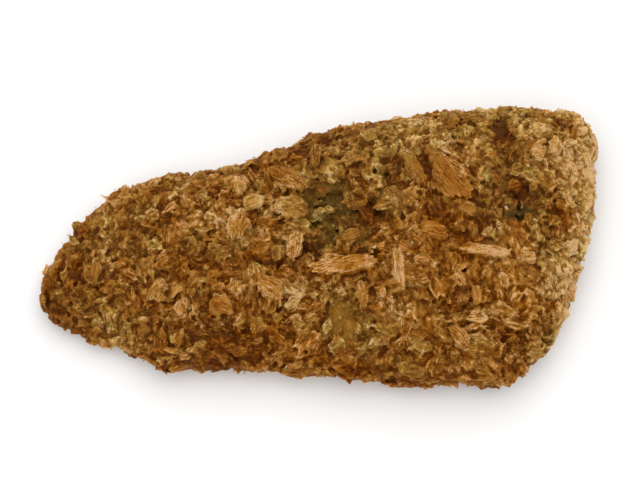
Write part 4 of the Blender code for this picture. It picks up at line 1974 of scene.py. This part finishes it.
@dataclass(frozen=True)
class CrumbFinish:
    """Fried crumb: toasted colour with painted shade in its gaps and grooves, fibrous relief, oily
    gloss and light that seeps in.
    """

    name: str
    relief: float = 0.48 * MM
    strength: float = 0.9
    seep: float = 0.75
    gloss: float = 0.05

    def material(self) -> bpy.types.Material:
        """Return the finish as a material.

        Returns:
            The material.
        """
        material = bpy.data.materials.new(self.name)
        material.use_nodes = True
        bench = NodeBench(material.node_tree)
        shader = bench.tree.nodes["Principled BSDF"]
        place = bench.add("ShaderNodeTexCoord").outputs["Object"]
        grain = bench.value_of("grain", "Vector")
        toast_and_shade = bench.add("ShaderNodeGroup", node_tree=ToastAndShade().group())
        for name in ("toast", "tint", "rise", "hollow", "rim"):
            bench.put(bench.value_of(name), toast_and_shade.inputs[name.capitalize()])
        fibres = bench.add("ShaderNodeGroup", node_tree=Fibres().group())
        height = fibres.outputs["Height"]
        bench.feed(fibres, {"Grain": grain, "Place": place})
        # the fibres' height also darkens their grooves in the colour: painted shade
        bench.feed(toast_and_shade, {"Grain": grain, "Place": place, "Fibre": height})
        bump = bench.add("ShaderNodeBump")
        bench.feed(bump, {"Strength": self.strength, "Distance": self.relief, "Height": height})
        bench.feed(
            shader,
            {
                "Base Color": toast_and_shade.outputs["Color"],
                "Roughness": fibres.outputs["Roughness"],
                "Normal": bump.outputs["Normal"],
            },
        )
        let_light_in(shader, self.seep)
        shader.inputs["Specular IOR Level"].default_value = self.gloss
        return material


def let_light_in(shader: bpy.types.Node, share: float) -> None:
    """Let light seep into a food's surface, red farther than blue.

    Args:
        shader: The material's shader.
        share: How much of the light seeps in.
    """
    shader.inputs["Subsurface Weight"].default_value = share
    shader.inputs["Subsurface Radius"].default_value = (1.0, 0.45, 0.15)
    shader.inputs["Subsurface Scale"].default_value = 1.5 * MM


@dataclass(frozen=True)
class CrustFinish(CrumbFinish):
    """Matted crumb, with the bare skin, flesh and oily pits that show in it."""

    skin: Colour = (0.080, 0.037, 0.003, 1)
    skin_light: Colour = (0.21, 0.112, 0.017, 1)
    flesh: Colour = (0.31, 0.138, 0.010, 1)
    flesh_light: Colour = (0.41, 0.215, 0.032, 1)
    pit: Colour = (0.060, 0.028, 0.003, 1)
    pit_light: Colour = (0.12, 0.068, 0.014, 1)

    def material(self) -> bpy.types.Material:
        """Return the finish as a material.

        Returns:
            The material.
        """
        material = super().material()
        bench = NodeBench(material.node_tree)
        shader = bench.tree.nodes["Principled BSDF"]
        place = bench.add("ShaderNodeTexCoord").outputs["Object"]
        colour = shader.inputs["Base Color"].links[0].from_socket
        marks = bench.speckle(place, 520, 4, 0.75)
        tones = (
            (Bare.SKIN, self.skin, self.skin_light),
            (Bare.FLESH, self.flesh, self.flesh_light),
            (Bare.PIT, self.pit, self.pit_light),
        )
        for kind, dark, light in tones:
            own = bench.blend(bench.between(marks, 0.38, 0.66, 0.0, 1.0), dark, light)
            colour = bench.blend(bench.value_of(kind.value), colour, own)
        bench.put(colour, shader.inputs["Base Color"])
        return material


@dataclass(frozen=True)
class TableFinish:
    """The plain white table."""

    colour: Colour = (0.96, 0.96, 0.955, 1)

    def material(self) -> bpy.types.Material:
        """Return the finish as a material.

        Returns:
            The material.
        """
        material = bpy.data.materials.new("white_table")
        material.use_nodes = True
        shader = material.node_tree.nodes["Principled BSDF"]
        shader.inputs["Base Color"].default_value = self.colour
        shader.inputs["Roughness"].default_value = 0.8
        shader.inputs["Specular IOR Level"].default_value = 0.1
        return material


# ------------------------------------------------------------------- studio


@dataclass(frozen=True)
class Lamp:
    """A soft square lamp that is aimed at the fillet. Metres and watts."""

    name: str
    place: tuple[float, float, float]
    side: float
    power: float

    def build(self) -> None:
        """Hang the lamp."""
        light = bpy.data.lights.new(self.name, "AREA")
        light.size = self.side
        light.energy = self.power
        lamp = link(bpy.data.objects.new(self.name, light))
        lamp.location = self.place
        lamp.rotation_euler = Vector(self.place).to_track_quat("Z", "Y").to_euler()


@dataclass(frozen=True)
class Studio:
    """A white table under soft light, and the camera above its front edge."""

    table: float = 4.0
    sky: float = 0.70
    elevation: float = 75.0
    distance: float = 0.374
    target: tuple[float, float, float] = (-0.0005, 0.0013, 0.008)
    lens: float = 85.0
    lamps: tuple[Lamp, ...] = (
        Lamp("key_lamp", (0.10, 0.24, 0.55), 0.80, 2.1),
        Lamp("fill_lamp", (-0.40, -0.30, 0.50), 0.60, 1.0),
    )

    def build(self) -> None:
        """Set up the table, the light and the camera."""
        deselect_all()
        bpy.ops.mesh.primitive_plane_add(size=self.table, location=(0, 0, -0.05 * MM))
        floor = bpy.context.active_object
        floor.name = "table"
        floor.data.materials.append(TableFinish().material())
        for lamp in self.lamps:
            lamp.build()
        self._light_sky()
        self._set_camera()

    def _light_sky(self) -> None:
        """Fill the room with even white light."""
        world = bpy.data.worlds.new("soft_room")
        world.use_nodes = True
        background = world.node_tree.nodes["Background"]
        background.inputs["Color"].default_value = (1, 1, 1, 1)
        background.inputs["Strength"].default_value = self.sky
        bpy.context.scene.world = world

    def _set_camera(self) -> None:
        """Aim the camera at the fillet from its front, high above the table."""
        camera = link(bpy.data.objects.new("camera", bpy.data.cameras.new("camera")))
        camera.data.lens = self.lens
        camera.data.sensor_width = 36.0
        camera.data.clip_start = 0.01
        up = math.radians(self.elevation)
        back = Vector((0, -math.cos(up), math.sin(up)))
        camera.location = Vector(self.target) + back * self.distance
        camera.rotation_euler = back.to_track_quat("Z", "Y").to_euler()
        bpy.context.scene.camera = camera
        bpy.context.scene.view_settings.view_transform = "Standard"


# --------------------------------------------------------------------- main


def report(piece: Object) -> None:
    """Log a piece's name and its number of triangles."""
    LOG.info("%s: %d triangles", piece.name, len(read_triangles(piece.data)))


BED = CrumbGrade(
    "bed_crumbs",
    tuple(FlakePattern(seed=number, columns=8, rows=5, faces=80) for number in range(61, 69)),
    count=9000,
    follow=0.6,
    length=3.2,
    spread=0.25,
    limits=(2.0, 5.0),
    slenderness=(0.45, 0.9),
    thickness=(0.6, 0.9),
    lean=(0, 25),
    lift=(-0.45, 0.15),
    spacing=0.33,
    on_bare=0.45,
    thins=0.3,
    toast=0.60,
    uneven=0.10,
)
COARSE = CrumbGrade(
    "coarse_crumbs",
    tuple(FlakePattern(seed=number, faces=200) for number in range(1, 8))
    + tuple(BundlePattern(seed=number, strands=8 + number % 5) for number in range(8, 18)),
    count=16000,
    length=4.4,
    spread=0.3,
    limits=(2.6, 8.0),
    follow=0.85,
    slenderness=(0.42, 0.8),
    thickness=(0.75, 1.3),
    lean=(0, 28),
    lift=(-0.2, 0.55),
    spacing=0.42,
    on_bare=0.05,
    clears=0.22,
    thins=1.0,
    toast=0.48,
    uneven=0.06,
    twist=60,
    bend=70,
    cup=110,
)
SMALL = CrumbGrade(
    "small_crumbs",
    tuple(BundlePattern(seed=number, strands=4) for number in range(31, 39)),
    count=2200,
    follow=0.6,
    length=2.5,
    spread=0.3,
    limits=(1.4, 4.0),
    slenderness=(0.35, 0.8),
    thickness=(0.5, 0.9),
    lean=(0, 40),
    lift=(0.1, 0.9),
    on_bare=0.8,
    thins=0.6,
    toast=0.46,
    bend=120,
    cup=150,
)
SLIVERS = CrumbGrade(
    "slivers",
    tuple(
        StrandPattern(seed=number, sides=3, steps=1, ends=(0.1, 0.3)) for number in range(41, 49)
    ),
    count=5000,
    follow=0.9,
    length=1.5,
    spread=0.3,
    limits=(0.8, 2.4),
    slenderness=(0.13, 0.24),
    thickness=(0.16, 0.26),
    lean=(0, 22),
    lift=(-0.08, 0.06),
    on_bare=0.9,
    thins=0.3,
    toast=0.56,
    uneven=0.14,
    matted=False,
    bend=120,
    cup=0,
)
FINE = CrumbGrade(
    "fine_crumbs",
    tuple(LumpPattern(seed=number) for number in range(51, 57)),
    count=900,
    length=0.75,
    spread=0.3,
    limits=(0.4, 1.4),
    slenderness=(0.4, 0.95),
    thickness=(0.25, 0.45),
    lean=(0, 80),
    lift=(-0.08, 0.06),
    on_bare=1.0,
    thins=0.2,
    matted=False,
    toast=0.5,
    bend=0,
    cup=0,
)


def main() -> None:
    """Build the crust, then the loose crumbs on it, and then the studio."""
    logging.basicConfig(level=logging.INFO, format="%(message)s")
    noise.seed_set(SEED)
    rng = np.random.default_rng(SEED)
    core = CrustCore()
    core.build()
    heap = CrumbHeap()
    core.lay_in(heap)
    clumps = ClumpField.scatter(core.skin, rng)
    LargeFlakes(heap, core.skin, rng).lay()
    for grade in (BED, COARSE, SMALL):
        grade.lay_in(heap, core.skin, clumps, rng)
    crust = MattedCrust()
    crust.build(heap, core.skin)
    finish = CrustFinish("matted_crust").material()
    for piece in crust.pieces:
        dress(piece, finish, crust.sharp)
        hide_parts(CAD_NODE)
        report(piece)
    for grade in (SLIVERS, FINE):
        piece = grade.build(crust.skin(), clumps, rng)
        dress(piece, CrumbFinish(grade.name).material(), grade.sharp)
        report(piece)
    Studio().build()


if __name__ == "__main__":
    main()
